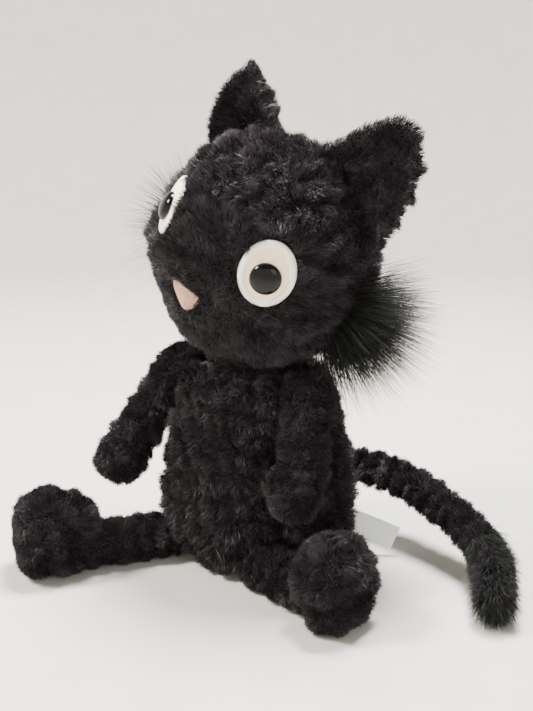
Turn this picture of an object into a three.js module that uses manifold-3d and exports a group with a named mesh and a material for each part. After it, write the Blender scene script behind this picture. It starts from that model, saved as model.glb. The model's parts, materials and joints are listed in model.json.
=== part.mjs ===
// A sitting plush cat: sewn cloth covers over fibre filling, with ball-like sewn roots at the neck,
// shoulders, hips and tail. Millimetres, +Z up. The cat faces -Y, its own left side is +X,
// and the origin is the centre of the flat seat panel on the surface that the cat sits on.
import * as THREE from "three";
import { mergeVertices } from "three/addons/utils/BufferGeometryUtils.js";
import Module from "manifold-3d";

const wasm = await Module();
wasm.setup();

// ---------- Driving dimensions ----------
const cloth = 1.6; // thickness of the knitted plush backing
const fitGap = 0.3; // between pieces that are sewn, glued or packed against each other
const turnGap = 0.8; // round a ball end that turns in its pocket
const bodySides = 20; // facets round the torso and the head
const limbSides = 10; // facets round an arm, a leg or the tail
const innerSides = 8; // facets inside a limb

const torso = {
  seatRadius: 37,
  hemRadius: 50,
  hemHeight: 9,
  bellyRadius: 56,
  bellyHeight: 38,
  chestRadius: 46.5,
  chestHeight: 88.5,
  shoulderRadius: 41,
  shoulderHeight: 107.5,
  collarRadius: 29,
  collarHeight: 114.5,
  depthRatio: 0.91, // front to back, over side to side
};
const pelletBag = { radius: 29, height: 17, edgeRadius: 7 };
const neck = {
  rise: 5,
  plugRadius: 21.5,
  gatherThickness: 1.4,
  gatherHeight: 13,
  pocketGap: 1.5,
};
const head = {
  halfWidth: 60,
  halfDepth: 55,
  halfHeight: 60,
  lift: 1.5, // centre above the neck pivot, beyond the half height
  aside: 5,
  forward: 1,
  tilt: 23, // towards the cat's left
  turn: -4, // the nose towards the cat's right
  browHeight: 27,
  seamSlope: 12,
};
const eye = {
  aside: 41, // degrees from the nose line
  above: 12.5,
  domeRadius: 8.3,
  domeHeight: 3.9,
  shankRadius: 2,
  shankLength: 9,
  washerRadius: 6,
  washerThickness: 1.4,
  patchWidth: 12.8,
  patchHeight: 15.4,
  patchThickness: 1.2,
  rimWidth: 2.3,
  rimThickness: 2.2,
  drop: 2.2, // dome centre below the patch centre
};
const nose = { below: 21, halfWidth: 9, height: 15, thickness: 2, corner: 3 };
const ear = {
  leftAside: 35, // degrees from the crown of the head
  rightAside: 40,
  spread: 30, // half the base, as an angle round the head
  height: 44,
  tipWidth: 12,
  tipLean: 5, // degrees from the middle of the base towards the crown
  behind: 12,
  backThickness: 2.2,
  liningThickness: 1.6,
  liningInset: 4,
  standOff: 1.8,
};
const cheek = { aside: 108, below: 12, width: 15, height: 20, length: 32, droop: 10, sweep: 14 };
const arm = {
  rootRadius: 11.5,
  wristRadius: 10.5,
  pawRadius: 13,
  shoulderAside: 19, // degrees forward of the side line
  shoulderHeight: 107.5,
  shoulderOut: 8,
  plugRadius: 6.5,
  mouthRadius: 6,
  leftPawForward: 35, // degrees forward of the side line
  rightPawForward: 34,
  leftPawHeight: 62,
  rightPawHeight: 54,
  leftPawOut: 3,
  rightPawOut: 17,
  backSwing: 8, // degrees, room left in the flank
};
const leg = {
  radius: 10.5,
  hipAside: 52, // degrees forward of the side line
  hipOut: 1.5,
  hipHeight: 13,
  leftReach: 46, // hip pivot to ankle pivot
  rightReach: 55,
  plugRadius: 6.5,
  mouthRadius: 6,
  leftAim: -9, // plan angle of the leg, from +X
  rightAim: 238,
  splayForward: 46, // pocket flare, degrees either side of the seated aim
};
const foot = {
  leftHalfLength: 19, // along the leg
  rightHalfLength: 24,
  halfWidth: 19,
  halfHeight: 23.5,
  soleInset: 8, // cut from the far end by the flat sole
  heelBehind: 6, // heel behind the ankle pivot
  clearance: 1,
  flex: 20,
};
const tail = {
  rootRadius: 8.6,
  middleRadius: 8.8,
  tipRadius: 8.2,
  rootAngle: 81, // plan angle of the root, from +X
  rootHeight: 43,
  rootOut: 4.5,
  plugRadius: 5,
  mouthRadius: 4.5,
};
const label = { width: 15, length: 30, thickness: 0.6, angle: 30, height: 22, droop: 22, turn: 4 };

// ---------- Colours ----------
const plushBlack = 0x17141a;
const plushSmooth = 0x110f14;
const longFur = 0x1b1c1d;
const felt = 0xe9dccb;
const thread = 0xf4efe6;
const eyeBlack = 0x08080a;
const nosePink = 0xe9b9a6;
const fibreWhite = 0xdedad2;
const labelWhite = 0xf1f1ee;

const radians = THREE.MathUtils.degToRad;
const point = (x, y, z) => new THREE.Vector3(x, y, z);
const upwards = point(0, 0, 1);

// ---------- Solids ----------
// A manifold solid of a closed geometry, turned the right way out.
function solid(geometry) {
  const bare = geometry.index ? geometry.toNonIndexed() : geometry.clone();
  const closed = mergeVertices(
    new THREE.BufferGeometry().setAttribute("position", bare.getAttribute("position")),
    1e-3,
  );
  const positions = closed.attributes.position.array;
  const triangles = new Uint32Array(closed.index.array);
  const build = () =>
    new wasm.Manifold(
      new wasm.Mesh({ numProp: 3, vertProperties: positions, triVerts: triangles }),
    );
  const made = build();
  if (made.volume() > 0) return made;
  for (let i = 0; i < triangles.length; i += 3) {
    [triangles[i + 1], triangles[i + 2]] = [triangles[i + 2], triangles[i + 1]];
  }
  return build();
}

function geometryOf(body) {
  const mesh = body.getMesh();
  const positions = new Float32Array(mesh.numVert * 3);
  for (let i = 0; i < mesh.numVert; i++) {
    const start = i * mesh.numProp;
    positions.set(mesh.vertProperties.subarray(start, start + 3), i * 3);
  }
  const geometry = new THREE.BufferGeometry();
  geometry.setAttribute("position", new THREE.BufferAttribute(positions, 3));
  geometry.setIndex(new THREE.BufferAttribute(mesh.triVerts, 1));
  geometry.computeVertexNormals();
  return geometry;
}

function addPiece(group, name, body, color, roughness = 0.95) {
  const material = new THREE.MeshStandardMaterial({ color, roughness, metalness: 0 });
  const mesh = new THREE.Mesh(geometryOf(body), material);
  mesh.name = name;
  group.add(mesh);
}

function ball(centre, radius, sides = 16) {
  const geometry = new THREE.SphereGeometry(radius, sides, Math.round(sides / 2));
  geometry.translate(centre.x, centre.y, centre.z);
  return solid(geometry);
}

function ellipsoid(halfX, halfY, halfZ, sides = bodySides) {
  const geometry = new THREE.SphereGeometry(1, sides, Math.round(sides * 0.6));
  geometry.rotateX(Math.PI / 2);
  geometry.scale(halfX, halfY, halfZ);
  return solid(geometry);
}

// A matrix whose Z points along the given direction and whose Y leans towards up.
function frameAt(origin, direction, up = upwards) {
  const z = direction.clone().normalize();
  const x = new THREE.Vector3().crossVectors(up, z).normalize();
  const y = new THREE.Vector3().crossVectors(z, x);
  return new THREE.Matrix4().makeBasis(x, y, z).setPosition(origin);
}

// A straight round bar from a point along a direction.
function bar(from, direction, radius, length, sides = 12, depthShare = 1) {
  const geometry = new THREE.CylinderGeometry(radius, radius, length, sides);
  geometry.rotateX(Math.PI / 2);
  geometry.scale(1, depthShare, 1);
  geometry.translate(0, 0, length / 2);
  const up = Math.abs(direction.z) > 0.9 ? point(0, 1, 0) : upwards;
  geometry.applyMatrix4(frameAt(from, direction, up));
  return solid(geometry);
}

function box(min, max) {
  const size = new THREE.Vector3().subVectors(max, min);
  const geometry = new THREE.BoxGeometry(size.x, size.y, size.z);
  geometry.translate((min.x + max.x) / 2, (min.y + max.y) / 2, (min.z + max.z) / 2);
  return solid(geometry);
}

// A closed round body along a path: rings square to the path, with a half ball on each end.
function limb(points, radii, sides = limbSides, steps = 5) {
  const domeRings = 2;
  const curve = new THREE.CatmullRomCurve3(points, false, "centripetal");
  const frames = curve.computeFrenetFrames(steps, false);
  const radiusAt = (t) => {
    const place = Math.min(t * (radii.length - 1), radii.length - 1 - 1e-9);
    const index = Math.floor(place);
    return THREE.MathUtils.lerp(radii[index], radii[index + 1], place - index);
  };
  const rings = [];
  const dome = (step, end) => {
    const centre = curve.getPointAt(step / steps);
    const radius = radiusAt(step / steps);
    for (let k = 1; k <= domeRings; k++) {
      const angle = ((end > 0 ? domeRings + 1 - k : k) / (domeRings + 1)) * (Math.PI / 2);
      const along = end * radius * Math.cos(angle);
      const middle = centre.clone().addScaledVector(frames.tangents[step], along);
      rings.push({ middle, radius: radius * Math.sin(angle), step });
    }
  };
  dome(0, -1);
  for (let step = 0; step <= steps; step++) {
    const t = step / steps;
    rings.push({ middle: curve.getPointAt(t), radius: radiusAt(t), step });
  }
  dome(steps, 1);
  const vertices = [];
  for (const { middle, radius, step } of rings) {
    for (let side = 0; side < sides; side++) {
      const angle = (2 * Math.PI * side) / sides;
      const vertex = middle
        .clone()
        .addScaledVector(frames.normals[step], radius * Math.cos(angle))
        .addScaledVector(frames.binormals[step], radius * Math.sin(angle));
      vertices.push(vertex.x, vertex.y, vertex.z);
    }
  }
  const poles = [
    curve.getPointAt(0).addScaledVector(frames.tangents[0], -radii[0]),
    curve.getPointAt(1).addScaledVector(frames.tangents[steps], radii.at(-1)),
  ];
  for (const pole of poles) vertices.push(pole.x, pole.y, pole.z);
  const firstPole = rings.length * sides;
  const indices = [];
  for (let side = 0; side < sides; side++) {
    const next = (side + 1) % sides;
    indices.push(firstPole, next, side);
    const last = (rings.length - 1) * sides;
    indices.push(firstPole + 1, last + side, last + next);
    for (let ring = 0; ring < rings.length - 1; ring++) {
      const a = ring * sides + side;
      const b = ring * sides + next;
      indices.push(a, b, a + sides, b, b + sides, a + sides);
    }
  }
  const geometry = new THREE.BufferGeometry();
  geometry.setAttribute("position", new THREE.Float32BufferAttribute(vertices, 3));
  geometry.setIndex(indices);
  return solid(geometry);
}

const shrink = (radii, by) => radii.map((radius) => radius - by);

// The cloth cover and the fibre filling of a stuffed limb that is open at its root.
function stuffedLimb({ points, radii, steps, mouth, mouthRadius, plugRadius }) {
  const opening = bar(points[0], mouth, mouthRadius, radii[0] + 2, innerSides);
  const outer = limb(points, radii, limbSides, steps);
  const inner = limb(points, shrink(radii, cloth), innerSides, steps);
  const filling = limb(points, shrink(radii, cloth + fitGap), innerSides, steps);
  return {
    cover: outer.subtract(inner).subtract(opening),
    filling: filling.subtract(ball(points[0], plugRadius + turnGap, 10)).subtract(opening),
  };
}

// ---------- Torso shape ----------
const torsoCurve = new THREE.SplineCurve([
  new THREE.Vector2(torso.seatRadius, 0),
  new THREE.Vector2(torso.hemRadius, torso.hemHeight),
  new THREE.Vector2(torso.bellyRadius, torso.bellyHeight),
  new THREE.Vector2(torso.chestRadius, torso.chestHeight),
  new THREE.Vector2(torso.shoulderRadius, torso.shoulderHeight),
  new THREE.Vector2(torso.collarRadius, torso.collarHeight),
]);

// The torso as a turned body, drawn in from its outer surface by an inset.
function torsoBody(inset) {
  const steps = 9;
  const outline = [];
  for (let i = 0; i <= steps; i++) {
    const place = torsoCurve.getPoint(i / steps);
    const tangent = torsoCurve.getTangent(i / steps);
    const height = THREE.MathUtils.clamp(
      place.y + tangent.x * inset,
      inset,
      torso.collarHeight - inset,
    );
    outline.push(new THREE.Vector2(place.x - tangent.y * inset, height));
  }
  const geometry = new THREE.LatheGeometry(
    [new THREE.Vector2(0, inset), ...outline, new THREE.Vector2(0, torso.collarHeight - inset)],
    bodySides,
  );
  geometry.rotateX(Math.PI / 2);
  geometry.scale(1, torso.depthRatio, 1);
  return solid(geometry);
}

function torsoRadius(height) {
  let low = 0;
  let high = 1;
  for (let i = 0; i < 30; i++) {
    const middle = (low + high) / 2;
    if (torsoCurve.getPoint(middle).y < height) low = middle;
    else high = middle;
  }
  return torsoCurve.getPoint(low).x;
}

// A point at a plan angle and a height, a given distance outside the torso's surface.
function besideTorso(angle, height, out) {
  const radius = torsoRadius(height);
  const x = radius * Math.cos(radians(angle));
  const y = radius * torso.depthRatio * Math.sin(radians(angle));
  const outward = point(x, y / torso.depthRatio ** 2, 0).normalize();
  return point(x, y, height).addScaledVector(outward, out);
}

// ---------- Pivots ----------
const neckPocketRadius = neck.plugRadius + turnGap + neck.gatherThickness + neck.pocketGap;
const neckPivot = point(0, 0, torso.collarHeight + neck.rise);
const sides = [
  {
    name: "left",
    sign: 1,
    pawForward: arm.leftPawForward,
    pawOut: arm.leftPawOut,
    pawHeight: arm.leftPawHeight,
    earAside: ear.leftAside,
    aim: leg.leftAim,
    reach: leg.leftReach,
    footLength: foot.leftHalfLength,
  },
  {
    name: "right",
    sign: -1,
    pawForward: arm.rightPawForward,
    pawOut: arm.rightPawOut,
    pawHeight: arm.rightPawHeight,
    earAside: ear.rightAside,
    aim: leg.rightAim,
    reach: leg.rightReach,
    footLength: foot.rightHalfLength,
  },
];
const planAngle = (sign, forward) => (sign > 0 ? -forward : 180 + forward);
for (const side of sides) {
  const { sign } = side;
  const shoulderAngle = planAngle(sign, arm.shoulderAside);
  side.shoulder = besideTorso(shoulderAngle, arm.shoulderHeight, arm.shoulderOut);
  side.paw = besideTorso(
    planAngle(sign, side.pawForward),
    side.pawHeight,
    arm.pawRadius + turnGap + side.pawOut,
  );
  side.elbow = besideTorso(
    planAngle(sign, (arm.shoulderAside + side.pawForward) / 2),
    (arm.shoulderHeight + side.pawHeight) / 2,
    arm.wristRadius + turnGap + side.pawOut / 2,
  );
  side.hip = besideTorso(planAngle(sign, leg.hipAside), leg.hipHeight, leg.hipOut);
  side.legway = point(Math.cos(radians(side.aim)), Math.sin(radians(side.aim)), 0);
  side.ankle = side.hip.clone().addScaledVector(side.legway, side.reach);
  side.knee = side.hip.clone().lerp(side.ankle, 0.5);
}
const tailRoot = besideTorso(tail.rootAngle, tail.rootHeight, tail.rootOut);

const cat = new THREE.Group();

// ---------- Limbs that the torso makes room for ----------
const armOf = (side, extra = 0, swing = 0) => ({
  points: [side.shoulder, side.elbow, side.paw].map((place) =>
    place
      .clone()
      .sub(side.shoulder)
      .applyAxisAngle(point(1, 0, 0), radians(swing))
      .add(side.shoulder),
  ),
  radii: shrink([arm.rootRadius, arm.wristRadius, arm.pawRadius], -extra),
});
const legOf = (side, extra = 0) => ({
  points: [side.hip, side.knee, side.ankle],
  radii: shrink([leg.radius, leg.radius, leg.radius], -extra),
});

// A round pocket with a flared mouth, for a ball end whose limb swings inside a cone.
function flaredPocket(pivot, direction, radius, halfAngle) {
  const reach = 26;
  const slope = radians(halfAngle);
  const outline = [new THREE.Vector2(0, -radius)];
  const arcSteps = 5;
  for (let i = 1; i <= arcSteps; i++) {
    const angle = (i / arcSteps) * (Math.PI / 2) - Math.PI / 2;
    if (angle > -slope) break;
    outline.push(new THREE.Vector2(radius * Math.cos(angle), radius * Math.sin(angle)));
  }
  outline.push(new THREE.Vector2(radius * Math.cos(slope), -radius * Math.sin(slope)));
  outline.push(
    new THREE.Vector2(
      radius * Math.cos(slope) + reach * Math.sin(slope),
      -radius * Math.sin(slope) + reach * Math.cos(slope),
    ),
  );
  outline.push(new THREE.Vector2(0, -radius * Math.sin(slope) + reach * Math.cos(slope)));
  const geometry = new THREE.LatheGeometry(outline, 14);
  geometry.rotateX(Math.PI / 2);
  geometry.applyMatrix4(frameAt(pivot, direction));
  return solid(geometry);
}

function torsoRoom() {
  let room = ball(neckPivot, neckPocketRadius, 20);
  for (const side of sides) {
    room = room.add(ball(side.shoulder, arm.rootRadius + turnGap));
    for (const swing of [0, arm.backSwing]) {
      const { points, radii } = armOf(side, turnGap, swing);
      room = room.add(limb(points, radii, limbSides, 4));
    }
    const outward = point(side.hip.x, side.hip.y, 0).normalize();
    room = room.add(flaredPocket(side.hip, outward, leg.radius + turnGap, leg.splayForward));
  }
  const back = point(tailRoot.x, tailRoot.y, 0).normalize();
  return room.add(flaredPocket(tailRoot, back, tail.rootRadius + turnGap, 55));
}

// ---------- Torso ----------
function addTorso() {
  const room = torsoRoom();
  const reach = torso.bellyRadius * 2;
  const seat = bar(point(0, 0, 0), upwards, torso.seatRadius - cloth, cloth, bodySides, torso.depthRatio);
  const seatHole = bar(
    point(0, 0, -1),
    upwards,
    torso.seatRadius - cloth + fitGap,
    cloth * 2 + 1,
    bodySides,
    torso.depthRatio,
  );
  addPiece(cat, "seat_panel", seat, plushBlack);

  const shell = torsoBody(0).subtract(torsoBody(cloth)).subtract(seatHole).subtract(room);
  const front = box(point(-reach, -reach, -1), point(reach, -fitGap / 2, reach * 2));
  const rear = box(point(-reach, fitGap / 2, -1), point(reach, reach, reach * 2));
  addPiece(cat, "belly_panel", largestPart(shell.intersect(front)), plushBlack);
  addPiece(cat, "back_panel", largestPart(shell.intersect(rear)), plushBlack);

  // The pellet bag lies on the seat panel, and the filling is packed over it.
  const bagProfile = (extra, floor) => {
    const edge = pelletBag.edgeRadius;
    const top = cloth + fitGap + pelletBag.height + extra;
    const radius = pelletBag.radius + extra;
    const outline = [new THREE.Vector2(0, floor), new THREE.Vector2(radius - edge / 2, floor)];
    for (let i = 0; i <= 4; i++) {
      const angle = (i / 4) * (Math.PI / 2);
      outline.push(
        new THREE.Vector2(radius - edge + edge * Math.cos(angle), top - edge + edge * Math.sin(angle)),
      );
    }
    outline.push(new THREE.Vector2(0, top));
    const geometry = new THREE.LatheGeometry(outline, 20);
    geometry.rotateX(Math.PI / 2);
    geometry.scale(1, torso.depthRatio, 1);
    return solid(geometry);
  };
  const bagRoom = bagProfile(fitGap, -1);
  const bag = bagProfile(0, cloth + fitGap).subtract(room);
  const filling = torsoBody(cloth + fitGap).subtract(room).subtract(bagRoom);
  addPiece(cat, "pellet_bag", largestPart(bag), fibreWhite);
  addPiece(cat, "torso_filling", largestPart(filling), fibreWhite);
}

// Cuts can leave a sliver beside the piece, and only the piece itself is kept.
function largestPart(body) {
  return body.decompose().reduce((a, b) => (a.volume() > b.volume() ? a : b));
}

// ---------- Neck ----------
function addNeck() {
  addPiece(cat, "neck_plug", ball(neckPivot, neck.plugRadius, 16), fibreWhite);
  const outer = neck.plugRadius + turnGap + neck.gatherThickness;
  const inner = neck.plugRadius + turnGap;
  const half = neck.gatherHeight / 2;
  const outline = [];
  const steps = 2;
  for (let i = 0; i <= steps; i++) {
    const height = THREE.MathUtils.lerp(-half, half, i / steps);
    outline.push(new THREE.Vector2(Math.sqrt(outer ** 2 - height ** 2), height));
  }
  for (let i = 0; i <= steps; i++) {
    const height = THREE.MathUtils.lerp(half, -half, i / steps);
    outline.push(new THREE.Vector2(Math.sqrt(inner ** 2 - height ** 2), height));
  }
  outline.push(outline[0].clone());
  const geometry = new THREE.LatheGeometry(outline, 20);
  geometry.rotateX(Math.PI / 2);
  geometry.translate(neckPivot.x, neckPivot.y, neckPivot.z);
  addPiece(cat, "neck_gather", solid(geometry), plushBlack);
}

// ---------- Head ----------
const headCentre = neckPivot
  .clone()
  .add(point(head.aside, -head.forward, head.halfHeight + head.lift));
const headGroup = new THREE.Group();
headGroup.position.copy(headCentre);
headGroup.rotation.set(0, radians(head.tilt), radians(head.turn), "ZYX");
cat.add(headGroup);
headGroup.updateMatrixWorld(true);
const neckInHead = headGroup.worldToLocal(neckPivot.clone());

const headBody = (grow) =>
  ellipsoid(head.halfWidth + grow, head.halfDepth + grow, head.halfHeight + grow);

// A point and outward direction on the head, from angles off the nose line and above level.
function onHead(aside, above, grow = 0) {
  const theta = radians(aside);
  const phi = radians(above);
  const place = point(
    (head.halfWidth + grow) * Math.sin(theta) * Math.cos(phi),
    -(head.halfDepth + grow) * Math.cos(theta) * Math.cos(phi),
    (head.halfHeight + grow) * Math.sin(phi),
  );
  const outward = point(
    place.x / head.halfWidth ** 2,
    place.y / head.halfDepth ** 2,
    place.z / head.halfHeight ** 2,
  ).normalize();
  return { place, outward };
}

// A layer that lies on the head, between two heights above the skin, inside a prism.
const layerOnHead = (from, to, prism) => headBody(to).intersect(prism).subtract(headBody(from));

function ovalPrism(place, outward, halfWidth, halfHeight) {
  const geometry = new THREE.CylinderGeometry(1, 1, 24, 16);
  geometry.rotateX(Math.PI / 2);
  geometry.scale(halfWidth, halfHeight, 1);
  geometry.applyMatrix4(frameAt(place, outward));
  return solid(geometry);
}

const eyeSites = sides.map(({ name, sign }) => {
  const { place, outward } = onHead(sign * eye.aside, eye.above);
  const matrix = frameAt(place, outward);
  const lowered = point(0, -eye.drop, 0).applyMatrix4(matrix);
  return { name, place, outward, seat: lowered };
});

function addHead() {
  const pocket = ball(neckInHead, neckPocketRadius, 20);
  const reach = head.halfWidth * 2;
  let skin = headBody(0).subtract(headBody(-cloth)).subtract(pocket);
  let filling = headBody(-cloth - fitGap).subtract(pocket);
  for (const { seat, outward } of eyeSites) {
    const inwards = outward.clone().negate();
    const start = seat.clone().addScaledVector(outward, 4);
    skin = skin.subtract(bar(start, inwards, eye.shankRadius + fitGap, 12, 8));
    const depth = eye.shankLength + 8;
    filling = filling.subtract(bar(start, inwards, eye.washerRadius + fitGap, depth));
  }
  const rear = box(point(-reach, fitGap / 2, -reach), point(reach, reach, reach));
  const front = box(point(-reach, -reach, -reach), point(reach, -fitGap / 2, reach));
  const cutGeometry = new THREE.BoxGeometry(reach * 2, reach * 3, reach);
  cutGeometry.translate(0, 0, reach / 2 + fitGap / 2);
  cutGeometry.rotateX(radians(-head.seamSlope));
  cutGeometry.translate(0, 0, head.browHeight);
  const aboveBrow = solid(cutGeometry);
  cutGeometry.translate(0, 0, -fitGap);
  const browAndSeam = solid(cutGeometry);
  const frontSkin = skin.intersect(front);
  addPiece(headGroup, "face_panel", largestPart(frontSkin.subtract(browAndSeam)), plushSmooth);
  addPiece(headGroup, "crown_panel", largestPart(frontSkin.intersect(aboveBrow)), plushBlack);
  addPiece(headGroup, "head_back_panel", largestPart(skin.intersect(rear)), plushBlack);
  addPiece(headGroup, "head_filling", largestPart(filling), fibreWhite);
}

// ---------- Eyes ----------
function addEyes() {
  for (const { name, place, outward, seat } of eyeSites) {
    const from = fitGap;
    const shankHole = bar(
      seat.clone().addScaledVector(outward, 8),
      outward.clone().negate(),
      eye.shankRadius + fitGap,
      16,
      8,
    );
    const patch = layerOnHead(
      from,
      from + eye.patchThickness,
      ovalPrism(place, outward, eye.patchWidth, eye.patchHeight),
    ).subtract(shankHole);
    addPiece(headGroup, `${name}_eye_patch`, patch, felt);

    const hole = ovalPrism(place, outward, eye.patchWidth + fitGap, eye.patchHeight + fitGap);
    const rimPrism = ovalPrism(
      place,
      outward,
      eye.patchWidth + fitGap + eye.rimWidth,
      eye.patchHeight + fitGap + eye.rimWidth,
    ).subtract(hole);
    addPiece(headGroup, `${name}_eye_rim`, layerOnHead(from, from + eye.rimThickness, rimPrism), thread);

    // The dome is a shallow cap on a ribbed shank, and the washer grips the shank inside the head.
    const outline = [];
    const steps = 5;
    for (let i = 0; i <= steps; i++) {
      const angle = (i / steps) * (Math.PI / 2);
      outline.push(
        new THREE.Vector2(eye.domeRadius * Math.sin(angle), eye.domeHeight * Math.cos(angle)),
      );
    }
    outline.push(new THREE.Vector2(eye.shankRadius, 0));
    outline.push(new THREE.Vector2(eye.shankRadius, -eye.shankLength));
    outline.push(new THREE.Vector2(0, -eye.shankLength));
    const dome = new THREE.LatheGeometry(outline, 16);
    dome.rotateX(Math.PI / 2);
    const backHeight = fitGap + eye.patchThickness + fitGap;
    dome.applyMatrix4(frameAt(seat.clone().addScaledVector(outward, backHeight), outward));
    addPiece(headGroup, `${name}_eye`, solid(dome), eyeBlack, 0.08);

    const washerStart = seat.clone().addScaledVector(outward, -cloth - 2 * fitGap);
    const inwards = outward.clone().negate();
    const washer = bar(washerStart, inwards, eye.washerRadius, eye.washerThickness)
      .subtract(bar(seat, inwards, eye.shankRadius + fitGap, 12, 8))
      .subtract(headBody(0).subtract(headBody(-cloth - fitGap)));
    addPiece(headGroup, `${name}_eye_washer`, largestPart(washer), labelWhite, 0.5);
  }
}

// ---------- Nose ----------
function addNose() {
  const { place, outward } = onHead(0, -nose.below);
  const half = nose.height / 2;
  const width = nose.halfWidth;
  const corner = nose.corner;
  const shape = new THREE.Shape();
  shape.moveTo(-width + corner, half);
  shape.lineTo(width - corner, half);
  shape.quadraticCurveTo(width, half, width - corner / 3, half - corner);
  shape.lineTo(corner * 0.7, -half + corner * 0.8);
  shape.quadraticCurveTo(0, -half, -corner * 0.7, -half + corner * 0.8);
  shape.lineTo(-width + corner / 3, half - corner);
  shape.quadraticCurveTo(-width, half, -width + corner, half);
  const prism = new THREE.ExtrudeGeometry(shape, { depth: 24, bevelEnabled: false, curveSegments: 5 });
  prism.translate(0, 0, -12);
  prism.applyMatrix4(frameAt(place, outward));
  addPiece(headGroup, "nose_pad", layerOnHead(fitGap, fitGap + nose.thickness, solid(prism)), nosePink);
}

// ---------- Ears ----------
// The outline stands on the head's curve, in the plane of the ear, and narrows to a rounded tip.
function earOutline(sign, aside, inset) {
  const share = Math.sqrt(1 - (ear.behind / head.halfDepth) ** 2);
  const onCurve = (angle, out) =>
    new THREE.Vector2(
      (head.halfWidth * share + out) * Math.sin(radians(angle)),
      (head.halfHeight * share + out) * Math.cos(radians(angle)),
    );
  const base = ear.standOff + inset;
  const insetAngle = (inset / head.halfHeight) * (180 / Math.PI);
  const low = sign * (aside - ear.spread + insetAngle);
  const high = sign * (aside + ear.spread - insetAngle);
  const tip = onCurve(sign * (aside - ear.tipLean), ear.standOff + ear.height - inset);
  const along = onCurve(sign * aside, 1).sub(onCurve(sign * aside, 0));
  const across = new THREE.Vector2(along.y, -along.x).multiplyScalar(sign * (ear.tipWidth - inset));
  const tipIn = tip.clone().sub(across);
  const tipOut = tip.clone().add(across);
  const shape = new THREE.Shape();
  const steps = 5;
  for (let i = 0; i <= steps; i++) {
    const place = onCurve(THREE.MathUtils.lerp(low, high, i / steps), base);
    if (i === 0) shape.moveTo(place.x, place.y);
    else shape.lineTo(place.x, place.y);
  }
  const outerSide = onCurve(high, base + (ear.height - inset) * 0.55);
  const innerSide = onCurve(low, base + (ear.height - inset) * 0.5);
  shape.quadraticCurveTo(outerSide.x, outerSide.y, tipOut.x, tipOut.y);
  const crest = tip.clone().addScaledVector(along, (ear.tipWidth - inset) * 0.7);
  shape.quadraticCurveTo(crest.x, crest.y, tipIn.x, tipIn.y);
  shape.quadraticCurveTo(innerSide.x, innerSide.y, onCurve(low, base).x, onCurve(low, base).y);
  return shape;
}

function earLayer({ sign, earAside }, inset, front, thickness) {
  const geometry = new THREE.ExtrudeGeometry(earOutline(sign, earAside, inset), {
    depth: thickness,
    bevelEnabled: false,
    curveSegments: 7,
  });
  geometry.rotateX(Math.PI / 2);
  geometry.translate(0, ear.behind + front + thickness, 0);
  return solid(geometry);
}

function addEars() {
  for (const side of sides) {
    const lining = earLayer(side, ear.liningInset, 0, ear.liningThickness);
    const back = earLayer(side, 0, ear.liningThickness + fitGap, ear.backThickness);
    addPiece(headGroup, `${side.name}_ear_lining`, lining, plushSmooth);
    addPiece(headGroup, `${side.name}_ear_back`, back, plushBlack);
  }
}

// ---------- Cheek tufts ----------
function addCheeks() {
  for (const { name, sign } of sides) {
    const { place, outward } = onHead(sign * cheek.aside, -cheek.below);
    const lean = outward
      .clone()
      .add(point(0, Math.sin(radians(cheek.sweep)), -Math.sin(radians(cheek.droop))))
      .normalize();
    const outline = [
      new THREE.Vector2(0, -8),
      new THREE.Vector2(1, -8),
      new THREE.Vector2(1, 0),
      new THREE.Vector2(0.72, cheek.length * 0.5),
      new THREE.Vector2(0.34, cheek.length * 0.85),
      new THREE.Vector2(0, cheek.length),
    ];
    const geometry = new THREE.LatheGeometry(outline, 12);
    geometry.rotateX(Math.PI / 2);
    geometry.scale(cheek.width, cheek.height, 1);
    geometry.applyMatrix4(frameAt(place, lean));
    const tuft = largestPart(solid(geometry).subtract(headBody(fitGap)));
    addPiece(headGroup, `${name}_cheek_tuft`, tuft, longFur);
  }
}

// ---------- Arms ----------
function addArms() {
  for (const side of sides) {
    const mouth = point(-side.shoulder.x, -side.shoulder.y, 0).normalize();
    const { cover, filling } = stuffedLimb({
      ...armOf(side),
      steps: 5,
      mouth,
      mouthRadius: arm.mouthRadius,
      plugRadius: arm.plugRadius,
    });
    addPiece(cat, `${side.name}_shoulder_plug`, ball(side.shoulder, arm.plugRadius, 10), fibreWhite);
    addPiece(cat, `${side.name}_arm_cover`, cover, plushBlack);
    addPiece(cat, `${side.name}_arm_filling`, filling, fibreWhite);
  }
}

// ---------- Legs and feet ----------
function addLegs() {
  for (const side of sides) {
    const mouth = point(-side.hip.x, -side.hip.y, 0).normalize();
    const { cover, filling } = stuffedLimb({
      ...legOf(side),
      steps: 3,
      mouth,
      mouthRadius: leg.mouthRadius,
      plugRadius: leg.plugRadius,
    });
    addPiece(cat, `${side.name}_hip_plug`, ball(side.hip, leg.plugRadius, 10), fibreWhite);
    addPiece(cat, `${side.name}_leg_cover`, cover, plushBlack);
    addPiece(cat, `${side.name}_leg_filling`, filling, fibreWhite);
    addFoot(side);
  }
}

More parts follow.
